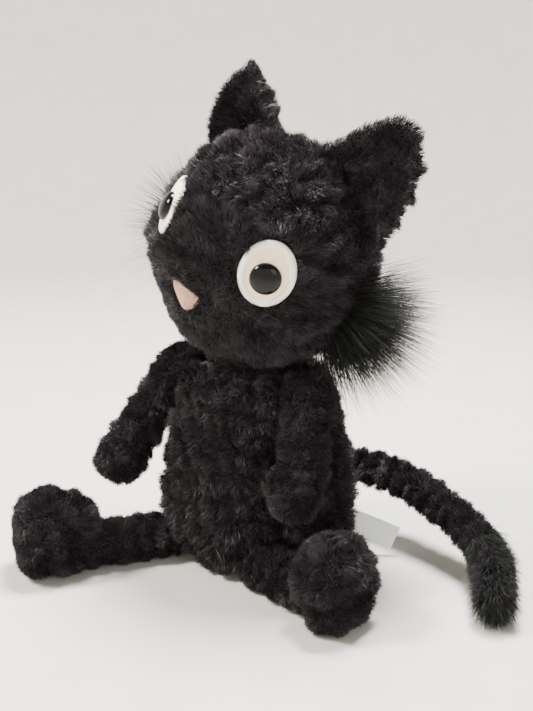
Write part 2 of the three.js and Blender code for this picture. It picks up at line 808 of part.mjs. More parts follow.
// A foot stands upright on its heel: +Z of its own frame is the leg's direction, +Y is up.
function addFoot(side) {
  const length = side.footLength;
  const soleFrom = length - foot.soleInset;
  const centre = side.ankle
    .clone()
    .addScaledVector(side.legway, length - foot.heelBehind)
    .setZ(foot.halfHeight + foot.clearance);
  const place = (body) => body.transform(frameAt(centre, side.legway).toArray());
  const shape = (inset) =>
    place(
      ellipsoid(
        foot.halfWidth - inset,
        foot.halfHeight - inset,
        length - inset,
        14,
      ),
    );
  const big = foot.halfHeight * 2;
  const beforeSole = place(box(point(-big, -big, -big), point(big, big, soleFrom)));
  const fillingRoom = place(box(point(-big, -big, -big), point(big, big, soleFrom - fitGap)));
  let ankleRoom = ball(side.ankle, leg.radius + turnGap);
  const swivel = new THREE.Vector3().crossVectors(side.legway, upwards).normalize();
  for (const turn of [-foot.flex, 0, foot.flex]) {
    const back = side.legway.clone().negate().applyAxisAngle(swivel, radians(turn));
    const sleeve = bar(side.ankle, back, leg.radius + turnGap, length * 1.6, limbSides);
    ankleRoom = ankleRoom.add(sleeve);
  }
  const cover = shape(0).subtract(shape(cloth)).intersect(beforeSole).subtract(ankleRoom);
  const filling = shape(cloth + fitGap).intersect(fillingRoom).subtract(ankleRoom);
  const share = Math.sqrt(1 - (soleFrom / length) ** 2);
  const soleGeometry = new THREE.CylinderGeometry(1, 1, cloth, 20);
  soleGeometry.rotateX(Math.PI / 2);
  soleGeometry.scale(foot.halfWidth * share, foot.halfHeight * share, 1);
  soleGeometry.translate(0, 0, soleFrom + fitGap + cloth / 2);
  addPiece(cat, `${side.name}_foot_cover`, largestPart(cover), plushBlack);
  addPiece(cat, `${side.name}_foot_filling`, largestPart(filling), fibreWhite);
  addPiece(cat, `${side.name}_foot_sole`, place(solid(soleGeometry)), plushSmooth);
}

// ---------- Tail ----------
// The tail leaves the lower back, sweeps round the cat's left side and comes down to the surface.
const tailRoute = [
  tailRoot,
  tailRoot.clone().add(point(30, 8.5, -2)),
  tailRoot.clone().add(point(58, 8, -5)),
  tailRoot.clone().add(point(87, 1, -11)),
  tailRoot.clone().add(point(113, -8, -19)),
  tailRoot.clone().add(point(130, -23, -25)),
  tailRoot.clone().add(point(143, -45, -30)),
];
const tailJoints = [0, 2, 4, 6];

function addTail() {
  const thickness = [
    [tail.rootRadius, tail.middleRadius],
    [tail.middleRadius, tail.middleRadius],
    [tail.middleRadius, tail.tipRadius],
  ];
  const names = ["tail_base", "tail_middle", "tail_tip"];
  addPiece(cat, "tail_plug", ball(tailRoot, tail.plugRadius, 10), fibreWhite);
  names.forEach((name, index) => {
    const points = tailRoute.slice(tailJoints[index], tailJoints[index + 1] + 1);
    const [start, end] = thickness[index];
    const radii = [start, (start + end) / 2, end];
    const { cover, filling } = stuffedLimb({
      points,
      radii,
      steps: 4,
      mouth: point(-points[0].x, -points[0].y, 0).normalize(),
      mouthRadius: tail.mouthRadius,
      plugRadius: index === 0 ? tail.plugRadius : start,
    });
    const room = index === 0 ? null : ball(points[0], start + turnGap);
    addPiece(cat, `${name}_cover`, room ? largestPart(cover.subtract(room)) : cover, plushBlack);
    addPiece(cat, `${name}_filling`, room ? largestPart(filling.subtract(room)) : filling, fibreWhite);
  });
}

// ---------- Sewn label ----------
function addLabel() {
  const root = besideTorso(label.angle, label.height, 2 * turnGap);
  const outward = point(Math.cos(radians(label.angle)), Math.sin(radians(label.angle)), 0);
  const along = outward.clone().applyAxisAngle(upwards, radians(label.turn));
  along.z = -Math.tan(radians(label.droop));
  const geometry = new THREE.BoxGeometry(label.thickness, label.width, label.length);
  geometry.translate(0, 0, label.length / 2);
  geometry.applyMatrix4(frameAt(root, along));
  addPiece(cat, "sewn_label", solid(geometry), labelWhite, 0.6);
  return { root, along };
}

addTorso();
addNeck();
addHead();
addEyes();
addNose();
addEars();
addCheeks();
addArms();
addLegs();
addTail();
const labelSite = addLabel();

// Where the sewn joints turn, for whoever poses the cat.
cat.userData.pivots = {
  neckPivot,
  headCentre,
  shoulders: sides.map((side) => side.shoulder),
  paws: sides.map((side) => side.paw),
  hips: sides.map((side) => side.hip),
  ankles: sides.map((side) => side.ankle),
  legways: sides.map((side) => side.legway),
  ears: sides.map(({ sign, earAside }) => {
    const share = Math.sqrt(1 - (ear.behind / head.halfDepth) ** 2);
    const angle = radians(sign * earAside);
    return headGroup.localToWorld(
      point(
        (head.halfWidth * share + ear.standOff) * Math.sin(angle),
        ear.behind + (ear.liningThickness + ear.backThickness) / 2,
        (head.halfHeight * share + ear.standOff) * Math.cos(angle),
      ),
    );
  }),
  earAxes: sides.map(({ sign, earAside }) => {
    const angle = radians(sign * earAside);
    return point(Math.cos(angle), 0, -Math.sin(angle)).transformDirection(headGroup.matrixWorld);
  }),
  tail: tailJoints.map((index) => tailRoute[index]),
  label: labelSite,
};

export default cat;
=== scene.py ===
import json
import math

import bpy
import numpy as np
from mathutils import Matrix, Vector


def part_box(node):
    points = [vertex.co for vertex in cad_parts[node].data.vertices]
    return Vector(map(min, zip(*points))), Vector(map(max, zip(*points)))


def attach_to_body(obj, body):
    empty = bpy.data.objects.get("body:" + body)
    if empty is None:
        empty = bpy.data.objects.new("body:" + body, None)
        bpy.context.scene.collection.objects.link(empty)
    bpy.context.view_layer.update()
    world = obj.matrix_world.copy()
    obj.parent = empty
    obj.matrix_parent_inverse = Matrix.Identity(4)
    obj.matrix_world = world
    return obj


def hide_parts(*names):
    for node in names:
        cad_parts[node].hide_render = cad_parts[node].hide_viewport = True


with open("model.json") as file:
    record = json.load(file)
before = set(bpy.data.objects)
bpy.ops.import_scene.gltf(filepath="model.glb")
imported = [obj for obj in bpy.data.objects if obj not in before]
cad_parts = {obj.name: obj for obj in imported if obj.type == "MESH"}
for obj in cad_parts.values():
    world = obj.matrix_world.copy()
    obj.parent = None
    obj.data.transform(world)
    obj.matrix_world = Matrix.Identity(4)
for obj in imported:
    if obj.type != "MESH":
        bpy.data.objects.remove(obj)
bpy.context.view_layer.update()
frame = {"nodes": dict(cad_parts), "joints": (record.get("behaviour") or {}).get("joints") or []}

# Sizes below are in millimetres, and mm turns them into Blender's metres.
mm = 0.001
up = np.array([0.0, 0.0, 1.0])
pivotOf = {joint["name"]: np.array(joint["pos_m"], float) for joint in frame["joints"]}


def unit(vectors):
    return vectors / np.maximum(np.linalg.norm(vectors, axis=-1, keepdims=True), 1e-12)


def smoothStep(low, high, values):
    # 0 below low, 1 above high, and 3t^2 - 2t^3 between them.
    share = np.clip((values - low) / (high - low), 0, 1)
    return share * share * (3 - 2 * share)


def softNoise(points, pitch, seed, count=10):
    # Sum of sine waves in random directions, each about one pitch long, scaled to a spread near 1.
    rng = np.random.default_rng(seed)
    ways = unit(rng.normal(size=(count, 3)))
    lengths = pitch * mm * rng.uniform(0.7, 1.5, count)
    phases = rng.uniform(0, 2 * np.pi, count)
    return np.sin(points @ (ways * (2 * np.pi / lengths)[:, None]).T + phases).sum(-1) / np.sqrt(count / 2)


def newMaterial(name, roughness, specular=0.3, sheen=0.0, sheenTint=(1, 1, 1), coat=0.0):
    material = bpy.data.materials.new(name)
    material.use_nodes = True
    nodes, links = material.node_tree.nodes, material.node_tree.links
    shader = nodes["Principled BSDF"]
    shader.inputs["Roughness"].default_value = roughness
    shader.inputs["Specular IOR Level"].default_value = specular
    shader.inputs["Sheen Weight"].default_value = sheen
    shader.inputs["Sheen Roughness"].default_value = 0.45
    shader.inputs["Sheen Tint"].default_value = (*sheenTint, 1)
    shader.inputs["Coat Weight"].default_value = coat
    shader.inputs["Coat Roughness"].default_value = 0.03
    return material, nodes, links, shader


def addRamp(nodes, links, source, stops):
    ramp = nodes.new("ShaderNodeValToRGB")
    while len(ramp.color_ramp.elements) < len(stops):
        ramp.color_ramp.elements.new(0.5)
    for element, (place, color) in zip(ramp.color_ramp.elements, stops):
        element.position = place
        element.color = (*color, 1)
    links.new(source, ramp.inputs["Fac"])
    return ramp.outputs["Color"]


def strandMaterial(
    name, tones, rootPaintedShade=0.12, roughness=0.55, specular=0.3, sheen=0.1, tint=(0.95, 0.86, 0.98)
):
    # Across the strand map lies its tone, and up the map its root to its tip; the root end is painted
    # darker, as painted shade deep in the pile, rising to full tone at the tip.
    material, nodes, links, shader = newMaterial(name, roughness, specular, sheen, tint)
    place = nodes.new("ShaderNodeUVMap")
    place.uv_map = "OFBake"
    parts = nodes.new("ShaderNodeSeparateXYZ")
    links.new(place.outputs["UV"], parts.inputs["Vector"])
    tone = addRamp(nodes, links, parts.outputs["X"], tones)
    # Painted shade: the root end of each strand is darkened, the tip keeps its full tone.
    shade = addRamp(
        nodes,
        links,
        parts.outputs["Y"],
        [(0.0, (rootPaintedShade,) * 3), (0.55, (0.5 + 0.4 * rootPaintedShade,) * 3), (1.0, (1.0,) * 3)],
    )
    mix = nodes.new("ShaderNodeMix")
    mix.data_type, mix.blend_type = "RGBA", "MULTIPLY"
    mix.inputs["Factor"].default_value = 1.0
    links.new(tone, mix.inputs["A"])
    links.new(shade, mix.inputs["B"])
    links.new(mix.outputs["Result"], shader.inputs["Base Color"])
    return material


def clothMaterial(name, colors, grain, roughness=0.9, bump=0.4, depth=0.3, sheen=0.2, specular=0.2):
    # Two scales of noise: the larger one mottles the colour, and the finer one raises the surface.
    material, nodes, links, shader = newMaterial(name, roughness, specular, sheen)
    place = nodes.new("ShaderNodeTexCoord")
    mottle = nodes.new("ShaderNodeTexNoise")
    mottle.inputs["Scale"].default_value = 0.25 / (grain * mm)
    fine = nodes.new("ShaderNodeTexNoise")
    fine.inputs["Scale"].default_value = 1 / (grain * mm)
    fine.inputs["Detail"].default_value = 4
    links.new(place.outputs["Object"], mottle.inputs["Vector"])
    links.new(place.outputs["Object"], fine.inputs["Vector"])
    color = addRamp(nodes, links, mottle.outputs["Fac"], [(0.3, colors[0]), (0.7, colors[1])])
    links.new(color, shader.inputs["Base Color"])
    raised = nodes.new("ShaderNodeBump")
    raised.inputs["Strength"].default_value = bump
    raised.inputs["Distance"].default_value = depth * mm
    links.new(fine.outputs["Fac"], raised.inputs["Height"])
    links.new(raised.outputs["Normal"], shader.inputs["Normal"])
    return material


plushTones = [
    (0.0, (0.0020, 0.0015, 0.0018)),
    (0.3, (0.0080, 0.0060, 0.0069)),
    (0.5, (0.0185, 0.0140, 0.0163)),
    (0.72, (0.0420, 0.0325, 0.0380)),
    (1.0, (0.0900, 0.0710, 0.0850)),
]
faceTones = [
    (0.0, (0.0020, 0.0016, 0.0020)),
    (0.4, (0.0100, 0.0076, 0.0096)),
    (0.7, (0.0250, 0.0195, 0.0250)),
    (1.0, (0.0600, 0.0480, 0.0640)),
]
longTones = [
    (0.0, (0.0030, 0.0032, 0.0028)),
    (0.4, (0.0110, 0.0116, 0.0102)),
    (0.75, (0.0300, 0.0312, 0.0280)),
    (1.0, (0.0640, 0.0665, 0.0600)),
]
noseTones = [
    (0.0, (0.88, 0.60, 0.46)),
    (0.5, (0.94, 0.71, 0.56)),
    (1.0, (0.97, 0.80, 0.67)),
]
feltTones = [
    (0.0, (0.62, 0.50, 0.38)),
    (0.5, (0.78, 0.67, 0.54)),
    (1.0, (0.88, 0.80, 0.69)),
]

bodyPile = strandMaterial("bodyPile", plushTones)
facePile = strandMaterial("facePile", faceTones, rootPaintedShade=0.2)
longPile = strandMaterial("longPile", longTones, rootPaintedShade=0.6, roughness=0.5, specular=0.12, sheen=0.03)
nosePile = strandMaterial(
    "nosePile", noseTones, rootPaintedShade=0.75, roughness=0.9, sheen=0.3, tint=(1, 0.9, 0.85)
)
feltPile = strandMaterial(
    "feltPile", feltTones, rootPaintedShade=0.85, roughness=0.95, sheen=0.2, tint=(1, 0.95, 0.9)
)
backing = clothMaterial("plushBacking", ((0.004, 0.003, 0.0035), (0.008, 0.006, 0.007)), grain=1.4, bump=0.8)
noseCloth = clothMaterial("noseCloth", ((0.84, 0.56, 0.43), (0.90, 0.63, 0.50)), grain=0.9)
feltCloth = clothMaterial("feltCloth", ((0.90, 0.72, 0.50), (0.94, 0.79, 0.58)), grain=0.7)
fibre = clothMaterial("fibreFilling", ((0.76, 0.74, 0.70), (0.88, 0.86, 0.83)), grain=2.2, bump=0.9)
cotton = clothMaterial("bagCotton", ((0.72, 0.69, 0.62), (0.80, 0.78, 0.72)), grain=0.8)


def newPiece(name, points, faces, material, uv=None):
    # faces is a list of corner arrays, one array for each number of corners.
    mesh = bpy.data.meshes.new(name)
    corners = np.concatenate([part.ravel() for part in faces]).astype(np.int32)
    counts = np.concatenate([np.full(len(part), part.shape[1]) for part in faces])
    mesh.vertices.add(len(points))
    mesh.vertices.foreach_set("co", np.asarray(points, np.float32).ravel())
    mesh.loops.add(len(corners))
    mesh.loops.foreach_set("vertex_index", corners)
    mesh.polygons.add(len(counts))
    mesh.polygons.foreach_set("loop_start", (np.cumsum(counts) - counts).astype(np.int32))
    mesh.polygons.foreach_set("use_smooth", np.ones(len(counts), bool))
    mesh.update(calc_edges=True)
    if uv is not None:
        layer = mesh.uv_layers.new(name="OFBake")
        layer.uv.foreach_set("vector", np.asarray(uv[corners], np.float32).ravel())
    mesh.materials.append(material)
    piece = bpy.data.objects.new(name, mesh)
    bpy.context.scene.collection.objects.link(piece)
    return piece


def facesOutward(grid):
    # The sign of the volume between a closed grid and its middle, summed cell by cell.
    middle = grid.reshape(-1, 3).mean(0)
    around = np.concatenate([grid, grid[:, :1]], 1) - middle
    corner = around[:-1, :-1]
    turn = np.cross(around[:-1, 1:] - corner, around[1:, :-1] - corner)
    return 1.0 if (corner * turn).sum() > 0 else -1.0


def shell(name, grid, material):
    # Rows of a closed surface from pole to pole. The first and last rows are each one point.
    inner = grid[1:-1]
    rows, columns = inner.shape[:2]
    points = np.concatenate([inner.reshape(-1, 3), grid[:1, 0], grid[-1:, 0]])
    row, column = np.meshgrid(np.arange(rows - 1), np.arange(columns), indexing="ij")
    after = (column + 1) % columns
    quads = np.stack(
        [
            row * columns + column,
            row * columns + after,
            (row + 1) * columns + after,
            (row + 1) * columns + column,
        ],
        -1,
    ).reshape(-1, 4)
    ring = np.arange(columns)
    nextRing = (ring + 1) % columns
    top = (rows - 1) * columns
    fans = np.concatenate(
        [
            np.stack([np.full(columns, rows * columns), nextRing, ring], -1),
            np.stack([np.full(columns, rows * columns + 1), top + ring, top + nextRing], -1),
        ]
    )
    if facesOutward(grid) < 0:
        quads, fans = quads[:, ::-1], fans[:, ::-1]
    return newPiece(name, points, [quads, fans], material)


def scatter(grid, count, seed):
    # Places spread evenly by area over a closed grid, with the normal and the way that the rows run.
    rng = np.random.default_rng(seed)
    around = np.concatenate([grid, grid[:, :1]], 1)
    a, b = around[:-1, :-1].reshape(-1, 3), around[:-1, 1:].reshape(-1, 3)
    d, c = around[1:, :-1].reshape(-1, 3), around[1:, 1:].reshape(-1, 3)
    area = np.linalg.norm(np.cross(c - a, d - b), axis=1)
    pick = rng.choice(len(area), count, p=area / area.sum())
    a, b, c, d = a[pick], b[pick], c[pick], d[pick]
    s, t = rng.random((2, count, 1))
    place = (1 - s) * ((1 - t) * a + t * b) + s * ((1 - t) * d + t * c)
    rowWay = (1 - t) * (d - a) + t * (c - b)
    columnWay = (1 - s) * (b - a) + s * (c - d)
    normal = unit(np.cross(columnWay, rowWay)) * facesOutward(grid)
    return {"place": place, "normal": normal, "way": unit(rowWay)}


def kept(sites, mask):
    return {key: values[mask] for key, values in sites.items()}


def slopeOf(field, sites, step=0.8):
    # The direction on the surface in which a field of places grows, from small steps along two tangents.
    across = unit(np.cross(sites["normal"], sites["way"]))
    along = np.cross(across, sites["normal"])
    here = field(sites["place"])
    first = (field(sites["place"] + across * step * mm) - here)[:, None] * across
    second = (field(sites["place"] + along * step * mm) - here)[:, None] * along
    return (first + second) / step


def growPile(name, sites, look, material):
    # Each tuft is a few tapered blades that share a root patch and lean towards one tip.
    rng = np.random.default_rng(look["seed"])
    place, normal, way = sites["place"], sites["normal"], sites["way"]
    tufts, blades = len(place), look["blades"]
    shape = (tufts, blades)
    length = look["length"] * mm * sites.get("longer", np.ones(tufts))
    across = unit(np.cross(normal, way))
    along = np.cross(across, normal)
    offset = rng.normal(0, look["spread"] * mm, (*shape, 2))
    sink = look["sink"] * mm + (offset**2).sum(-1, keepdims=True) / (2 * look["curve"] * mm)
    root = (
        place[:, None]
        + offset[..., :1] * across[:, None]
        + offset[..., 1:] * along[:, None]
        - normal[:, None] * sink
    )
    tuftWay = unit(normal + sites.get("lean", 0 * normal) + look["stray"] * rng.normal(size=(tufts, 3)))
    bladeWay = unit(tuftWay[:, None] + look["splay"] * rng.normal(size=(*shape, 3)))
    bladeLength = length[:, None, None] * rng.uniform(0.72, 1.08, (*shape, 1))
    ownTip = root + bladeWay * bladeLength
    sharedTip = (place + tuftWay * length[:, None])[:, None]
    tip = ownTip + (sharedTip - ownTip) * look["gather"]
    middle = (root + tip) / 2 + normal[:, None] * bladeLength * look["arch"]
    middle += look["curl"] * bladeLength * rng.normal(size=(*shape, 3))
    side = unit(np.cross(bladeWay, normal[:, None] + 0.7 * rng.normal(size=(*shape, 3))))
    half = side * (look["width"] * mm / 2) * rng.uniform(0.7, 1.3, (*shape, 1))
    points = np.stack([root - half, root + half, middle + 0.8 * half, middle - 0.8 * half, tip], 2)
    points = points.reshape(-1, 3)
    floorHeight = 0.0004 + 0.0012 * rng.random(len(points))
    points[:, 2] = np.maximum(points[:, 2], floorHeight)
    # The site's tone offset carries painted highlights on the ridges and crown and painted shade in the
    # valleys, plus a random spread per tuft and per blade.
    tone = 0.42 + sites.get("tone", np.zeros(tufts))[:, None]
    tone = tone + 0.11 * rng.normal(size=(tufts, 1)) + 0.13 * rng.normal(size=shape)
    tone = np.clip(tone, 0.02, 0.98)[..., None]
    u = tone + np.array([-0.004, 0.004, 0.003, -0.003, 0.0])
    v = np.broadcast_to(np.array([0.03, 0.03, 0.5, 0.5, 0.97]), u.shape)
    uv = np.stack([u, v], -1).reshape(-1, 2)
    first = np.arange(tufts * blades)[:, None] * 5
    faces = [first + np.array([0, 1, 2, 3]), first + np.array([3, 2, 4])]
    return newPiece(name, points, faces, material, uv)


pileLook = {  # what a tuft of the body's shaggy pile is like, changed piece by piece below
    "blades": 12,
    "length": 5.6,
    "spread": 1.3,
    "width": 0.36,
    "sink": 0.5,
    "curve": 18,
    "stray": 0.13,
    "splay": 0.14,
    "gather": 0.3,
    "arch": 0.12,
    "curl": 0.07,
    "seed": 1,
}
bandLook = {"pitch": 10.5, "waver": 1.1, "lump": 13, "share": 0.45}


def bandField(distance, seed, pitch=bandLook["pitch"], share=bandLook["share"]):
    # Ridges that follow each other every pitch, bent by slow noise and broken into lumps by faster noise.
    def field(places):
        bend = bandLook["waver"] * softNoise(places, 30, seed)
        ridge = np.cos(2 * np.pi * distance(places) / (pitch * mm) + bend)
        return share * ridge + (1 - share) * softNoise(places, bandLook["lump"], seed + 1)

    return field


def shaggy(sites, field, nap, lean=1.5, grow=0.22, tone=0.17):
    # Tufts stand longer on the ridges and lean uphill, so that the ridges part at the valleys; their tone is
    # painted paler on the ridges as a painted highlight and darker in the valleys as painted shade.
    height = np.clip(field(sites["place"]), -1.2, 1.2)
    slope = slopeOf(field, sites)
    size = np.linalg.norm(slope, axis=1, keepdims=True)
    swirl = np.stack([softNoise(sites["place"], 15, seed) for seed in (901, 902, 903)], -1)
    sites["lean"] = lean * slope / np.maximum(1, size / 0.45) + nap + 0.26 * swirl
    sites["longer"] = 1 + grow * height
    # Painted light: a painted highlight on the ridges and painted shade in the valleys.
    sites["tone"] = tone * height
    return sites


def swollen(grid, field, rise):
    # The grid pushed out along its own normals by rise times the field.
    ahead = np.roll(grid, -1, 1) - np.roll(grid, 1, 1)
    below = np.gradient(grid, axis=0)
    normal = unit(np.cross(ahead, below)) * facesOutward(grid)
    normal[0] = normal[-1] = 0
    share = np.clip(field(grid.reshape(-1, 3)), -0.5, 1).reshape(grid.shape[:2])
    return grid + normal * rise * mm * share[..., None]


def dress(skin, body, nodes):
    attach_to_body(skin, body)
    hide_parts(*nodes)


def attach(piece, body):
    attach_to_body(piece, body)


torsoShape = {
    "profile": [(37, 0), (50, 9), (56, 38), (46.5, 88.5), (41, 107.5), (29, 114.5)],  # radius and height
    "depthShare": 0.91,
    "seatRadius": 37,
    "rows": 120,
    "columns": 144,
}


def alongCurve(points, count):
    # A Catmull-Rom curve: each stretch is the cubic given by its two ends and by the slope at each,
    # which is half the difference of that end's neighbours.
    points = np.asarray(points, float)
    padded = np.concatenate([2 * points[:1] - points[1:2], points, 2 * points[-1:] - points[-2:-1]])
    place = np.linspace(0, len(points) - 1, count)
    index = np.minimum(place.astype(int), len(points) - 2)
    t = (place - index)[:, None]
    a, b, c, d = (padded[index + k] for k in range(4))
    return 0.5 * (2 * b + (c - a) * t + (2 * a - 5 * b + 4 * c - d) * t**2 + (3 * b - a - 3 * c + d) * t**3)


torsoProfile = alongCurve(torsoShape["profile"], torsoShape["rows"])


def torsoGrid():
    # The profile turned about Z, with y scaled by the depth share, closed by a point at each end.
    angle = np.linspace(0, 2 * np.pi, torsoShape["columns"], endpoint=False)
    radius = np.concatenate([[0, 18], torsoProfile[:, 0], [14, 0]])[:, None]
    height = np.concatenate([[1.2, 1.2], torsoProfile[:, 1] + 0.6, [115.1, 115.1]])[:, None]
    x = radius * np.cos(angle)
    y = radius * np.sin(angle) * torsoShape["depthShare"]
    return np.stack([x, y, height + 0 * x], -1) * mm


def besideTorso(angle, height, out):
    # A point at a plan angle and height, set off from the torso along its outline's normal.
    share = torsoShape["depthShare"]
    radius = np.interp(height, torsoProfile[:, 1], torsoProfile[:, 0])
    x, y = radius * math.cos(math.radians(angle)), radius * share * math.sin(math.radians(angle))
    away = unit(np.array([x, y / share**2, 0.0]))
    return (np.array([x, y, height]) + away * out) * mm


def buildTorso():
    field = bandField(lambda p: p[:, 2] + 0.003 * softNoise(p, 45, 40), 11, pitch=11.5)
    grid = swollen(torsoGrid(), field, 2.3)
    grid[..., 2] = np.maximum(grid[..., 2], 0.0006)
    skin = shell("torsoSkin", grid, backing)
    dress(skin, "torso", ["belly_panel", "back_panel"])
    sites = scatter(grid, 10400, 12)
    sites = kept(sites, (sites["normal"][:, 2] > -0.9) & (sites["place"][:, 2] < 0.114))
    nap = np.array([0, 0, -0.25])
    sites = shaggy(sites, field, nap)
    front = sites["place"][:, 1] < 0
    look = {**pileLook, "seed": 13, "blades": 11, "length": 6}
    attach(growPile("bellyFur", kept(sites, front), look, bodyPile), "torso")
    look = {**look, "seed": 14}
    attach(growPile("backFur", kept(sites, ~front), look, bodyPile), "torso")

    # The seat is an oval panel on the underside with its pile pressed flat.
    angle = np.linspace(0, 2 * np.pi, 96, endpoint=False)
    ring = np.stack([np.cos(angle), np.sin(angle) * torsoShape["depthShare"], 0 * angle], -1)
    rim = (torsoShape["seatRadius"] - 1) * mm
    rows = [(0, 0.1), (0.6, 0.1), (0.97, 0.15), (1, 0.7), (0.97, 1.1), (0.6, 1.15), (0, 1.15)]
    grid = np.stack([ring * rim * share + up * height * mm for share, height in rows])
    seat = shell("seatPanel", grid, backing)
    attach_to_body(seat, "torso")
    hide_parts("seat_panel")


def ballGrid(centre, radius, rows=28, columns=48):
    polar = np.linspace(0, np.pi, rows)[:, None]
    angle = np.linspace(0, 2 * np.pi, columns, endpoint=False)
    x = np.sin(polar) * np.cos(angle)
    y = np.sin(polar) * np.sin(angle)
    return np.stack([x, y, np.cos(polar) + 0 * x], -1) * radius * mm + centre


def buildNeck():
    centre = pivotOf["neck_turn"]
    grid = ballGrid(centre, 26.5)
    skin = shell("neckSkin", grid, backing)
    dress(skin, "neck_cloth", ["neck_gather", "neck_plug"])
    sites = scatter(grid, 900, 21)
    sites = kept(sites, np.abs(sites["normal"][:, 2]) < 0.45)
    sites = shaggy(sites, bandField(lambda p: p[:, 2], 22), np.array([0, 0, -0.2]))
    look = {**pileLook, "length": 6, "seed": 23}
    attach(growPile("neckFur", sites, look, bodyPile), "neck_cloth")


headShape = {
    "halves": (60, 55, 60),
    "tilt": 23,  # degrees towards the cat's left
    "turn": -4,
    "browHeight": 27,
    "browSlope": 12,
    "puffs": [(-6, -50, 5.5), (-48, -14, 4.2), (48, -20, 3.2)],  # degrees aside and above, and height
    "puffReach": 23,
    "rows": 150,
    "columns": 200,
}
halves = np.array(headShape["halves"]) * mm


def headPanelsCentre():
    panels = ("face_panel", "crown_panel", "head_back_panel")
    corners = [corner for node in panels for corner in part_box(node)]
    return (np.min(corners, 0) + np.max(corners, 0)) / 2


def headTurn():
    # Turned about Z after it is tilted about Y.
    tilt, turn = math.radians(headShape["tilt"]), math.radians(headShape["turn"])
    aboutY = np.array([[math.cos(tilt), 0, math.sin(tilt)], [0, 1, 0], [-math.sin(tilt), 0, math.cos(tilt)]])
    aboutZ = np.array([[math.cos(turn), -math.sin(turn), 0], [math.sin(turn), math.cos(turn), 0], [0, 0, 1]])
    return aboutZ @ aboutY


headCentre = headPanelsCentre()
headMatrix = headTurn()


def toHead(points):
    return (points - headCentre) @ headMatrix


def fromHead(points):
    return points @ headMatrix.T + headCentre


def onHead(aside, above):
    # The place and outward normal at angles from the nose line and above level, in the head's own frame.
    theta, phi = math.radians(aside), math.radians(above)
    way = np.array([math.sin(theta) * math.cos(phi), -math.cos(theta) * math.cos(phi), math.sin(phi)])
    place = halves * way
    return place, unit(place / halves**2)


def siteFrame(aside, above):
    place, outward = onHead(aside, above)
    across = unit(np.cross(up, outward))
    return {"place": place, "outward": outward, "across": across, "rise": np.cross(outward, across)}


def laidOnHead(site, a, b, lift):
    # The point a across and b up from a site, slid along the site's normal onto the ellipsoid grown by lift.
    flat = site["place"] + a[..., None] * site["across"] + b[..., None] * site["rise"]
    grown = (halves + np.asarray(lift)[..., None]) if np.ndim(lift) else halves + lift
    way = site["outward"]
    first = (way**2 / grown**2).sum(-1)
    second = (flat * way / grown**2).sum(-1)
    third = (flat**2 / grown**2).sum(-1) - 1
    slide = (-second + np.sqrt(np.maximum(second**2 - first * third, 0))) / first
    return fromHead(flat + slide[..., None] * way)


eyeShape = {
    "aside": 41,
    "above": 12.5,
    "patchWidth": 12.8,
    "patchHeight": 15.4,
    "rimWidth": 3.9,
    "rimReach": 2.2,
    "rimHeight": 1.25,
    "stitches": 170,
    "drop": 2.2,
    "domeRadius": 8.2,
    "domeHeight": 3.9,
}
noseShape = {"below": 21, "halfWidth": 9, "height": 15, "puff": 2.3}
eyeSites = {
    "left": siteFrame(eyeShape["aside"], eyeShape["above"]),
    "right": siteFrame(-eyeShape["aside"], eyeShape["above"]),
}
noseSite = siteFrame(0, -noseShape["below"])


def acrossSite(local, site):
    offset = local - site["place"]
    return offset @ site["across"], offset @ site["rise"], offset @ site["outward"]


def noseReach(angle):
    # A triangle's radius by angle, flat side up, softened: the distance to the nearest of its three sides,
    # taken as a smooth minimum, the power mean of the three.
    sides = [np.maximum(np.cos(angle - np.pi / 2 - k * 2 * np.pi / 3), 0.02) for k in range(3)]
    return 0.80 * sum(side**3.2 for side in sides) ** (-1 / 3.2)


def clearOfFace(local):
    # False under the eye patches and the nose.
    free = np.ones(len(local), bool)
    for site in eyeSites.values():
        a, b, out = acrossSite(local, site)
        reachA = (eyeShape["patchWidth"] + eyeShape["rimReach"] + 0.2) * mm
        reachB = (eyeShape["patchHeight"] + eyeShape["rimReach"] + 0.2) * mm
        free &= ((a / reachA) ** 2 + (b / reachB) ** 2 > 1) | (out < -0.02)
    a, b, out = acrossSite(local, noseSite)
    angle = np.arctan2(b, a)
    far = np.hypot(a / (noseShape["halfWidth"] * mm), b / (noseShape["height"] / 2 * mm))
    free &= (far > noseReach(angle) * 1.02) | (out < -0.02)
    return free


def faceRoom(local):
    # 0 under the eye patches and the nose, rising to 1 a few millimetres outside them.
    room = np.ones(len(local))
    patch = (eyeShape["patchWidth"] + eyeShape["rimReach"], eyeShape["patchHeight"] + eyeShape["rimReach"])
    pad = (noseShape["halfWidth"], noseShape["height"] / 2)
    for site, (wide, tall) in ((eyeSites["left"], patch), (eyeSites["right"], patch), (noseSite, pad)):
        a, b, out = acrossSite(local, site)
        far = np.hypot(a / (wide * mm), b / (tall * mm)) + np.where(out < -0.02, 9, 0)
        room *= smoothStep(1.0, 1.35, far)
    return room


def browSide(local):
    # Above zero on the crown's side of the brow seam, as a distance from the seam.
    slope = math.radians(headShape["browSlope"])
    rise = local[:, 2] - headShape["browHeight"] * mm - local[:, 1] * -math.tan(slope)
    return rise * math.cos(slope)


def headGrid():
    polar = np.linspace(0, np.pi, headShape["rows"])[:, None]
    angle = np.linspace(0, 2 * np.pi, headShape["columns"], endpoint=False)
    way = np.stack(
        [np.sin(polar) * np.cos(angle), np.sin(polar) * np.sin(angle), np.cos(polar) + 0 * angle],
        -1,
    )
    return way * halves


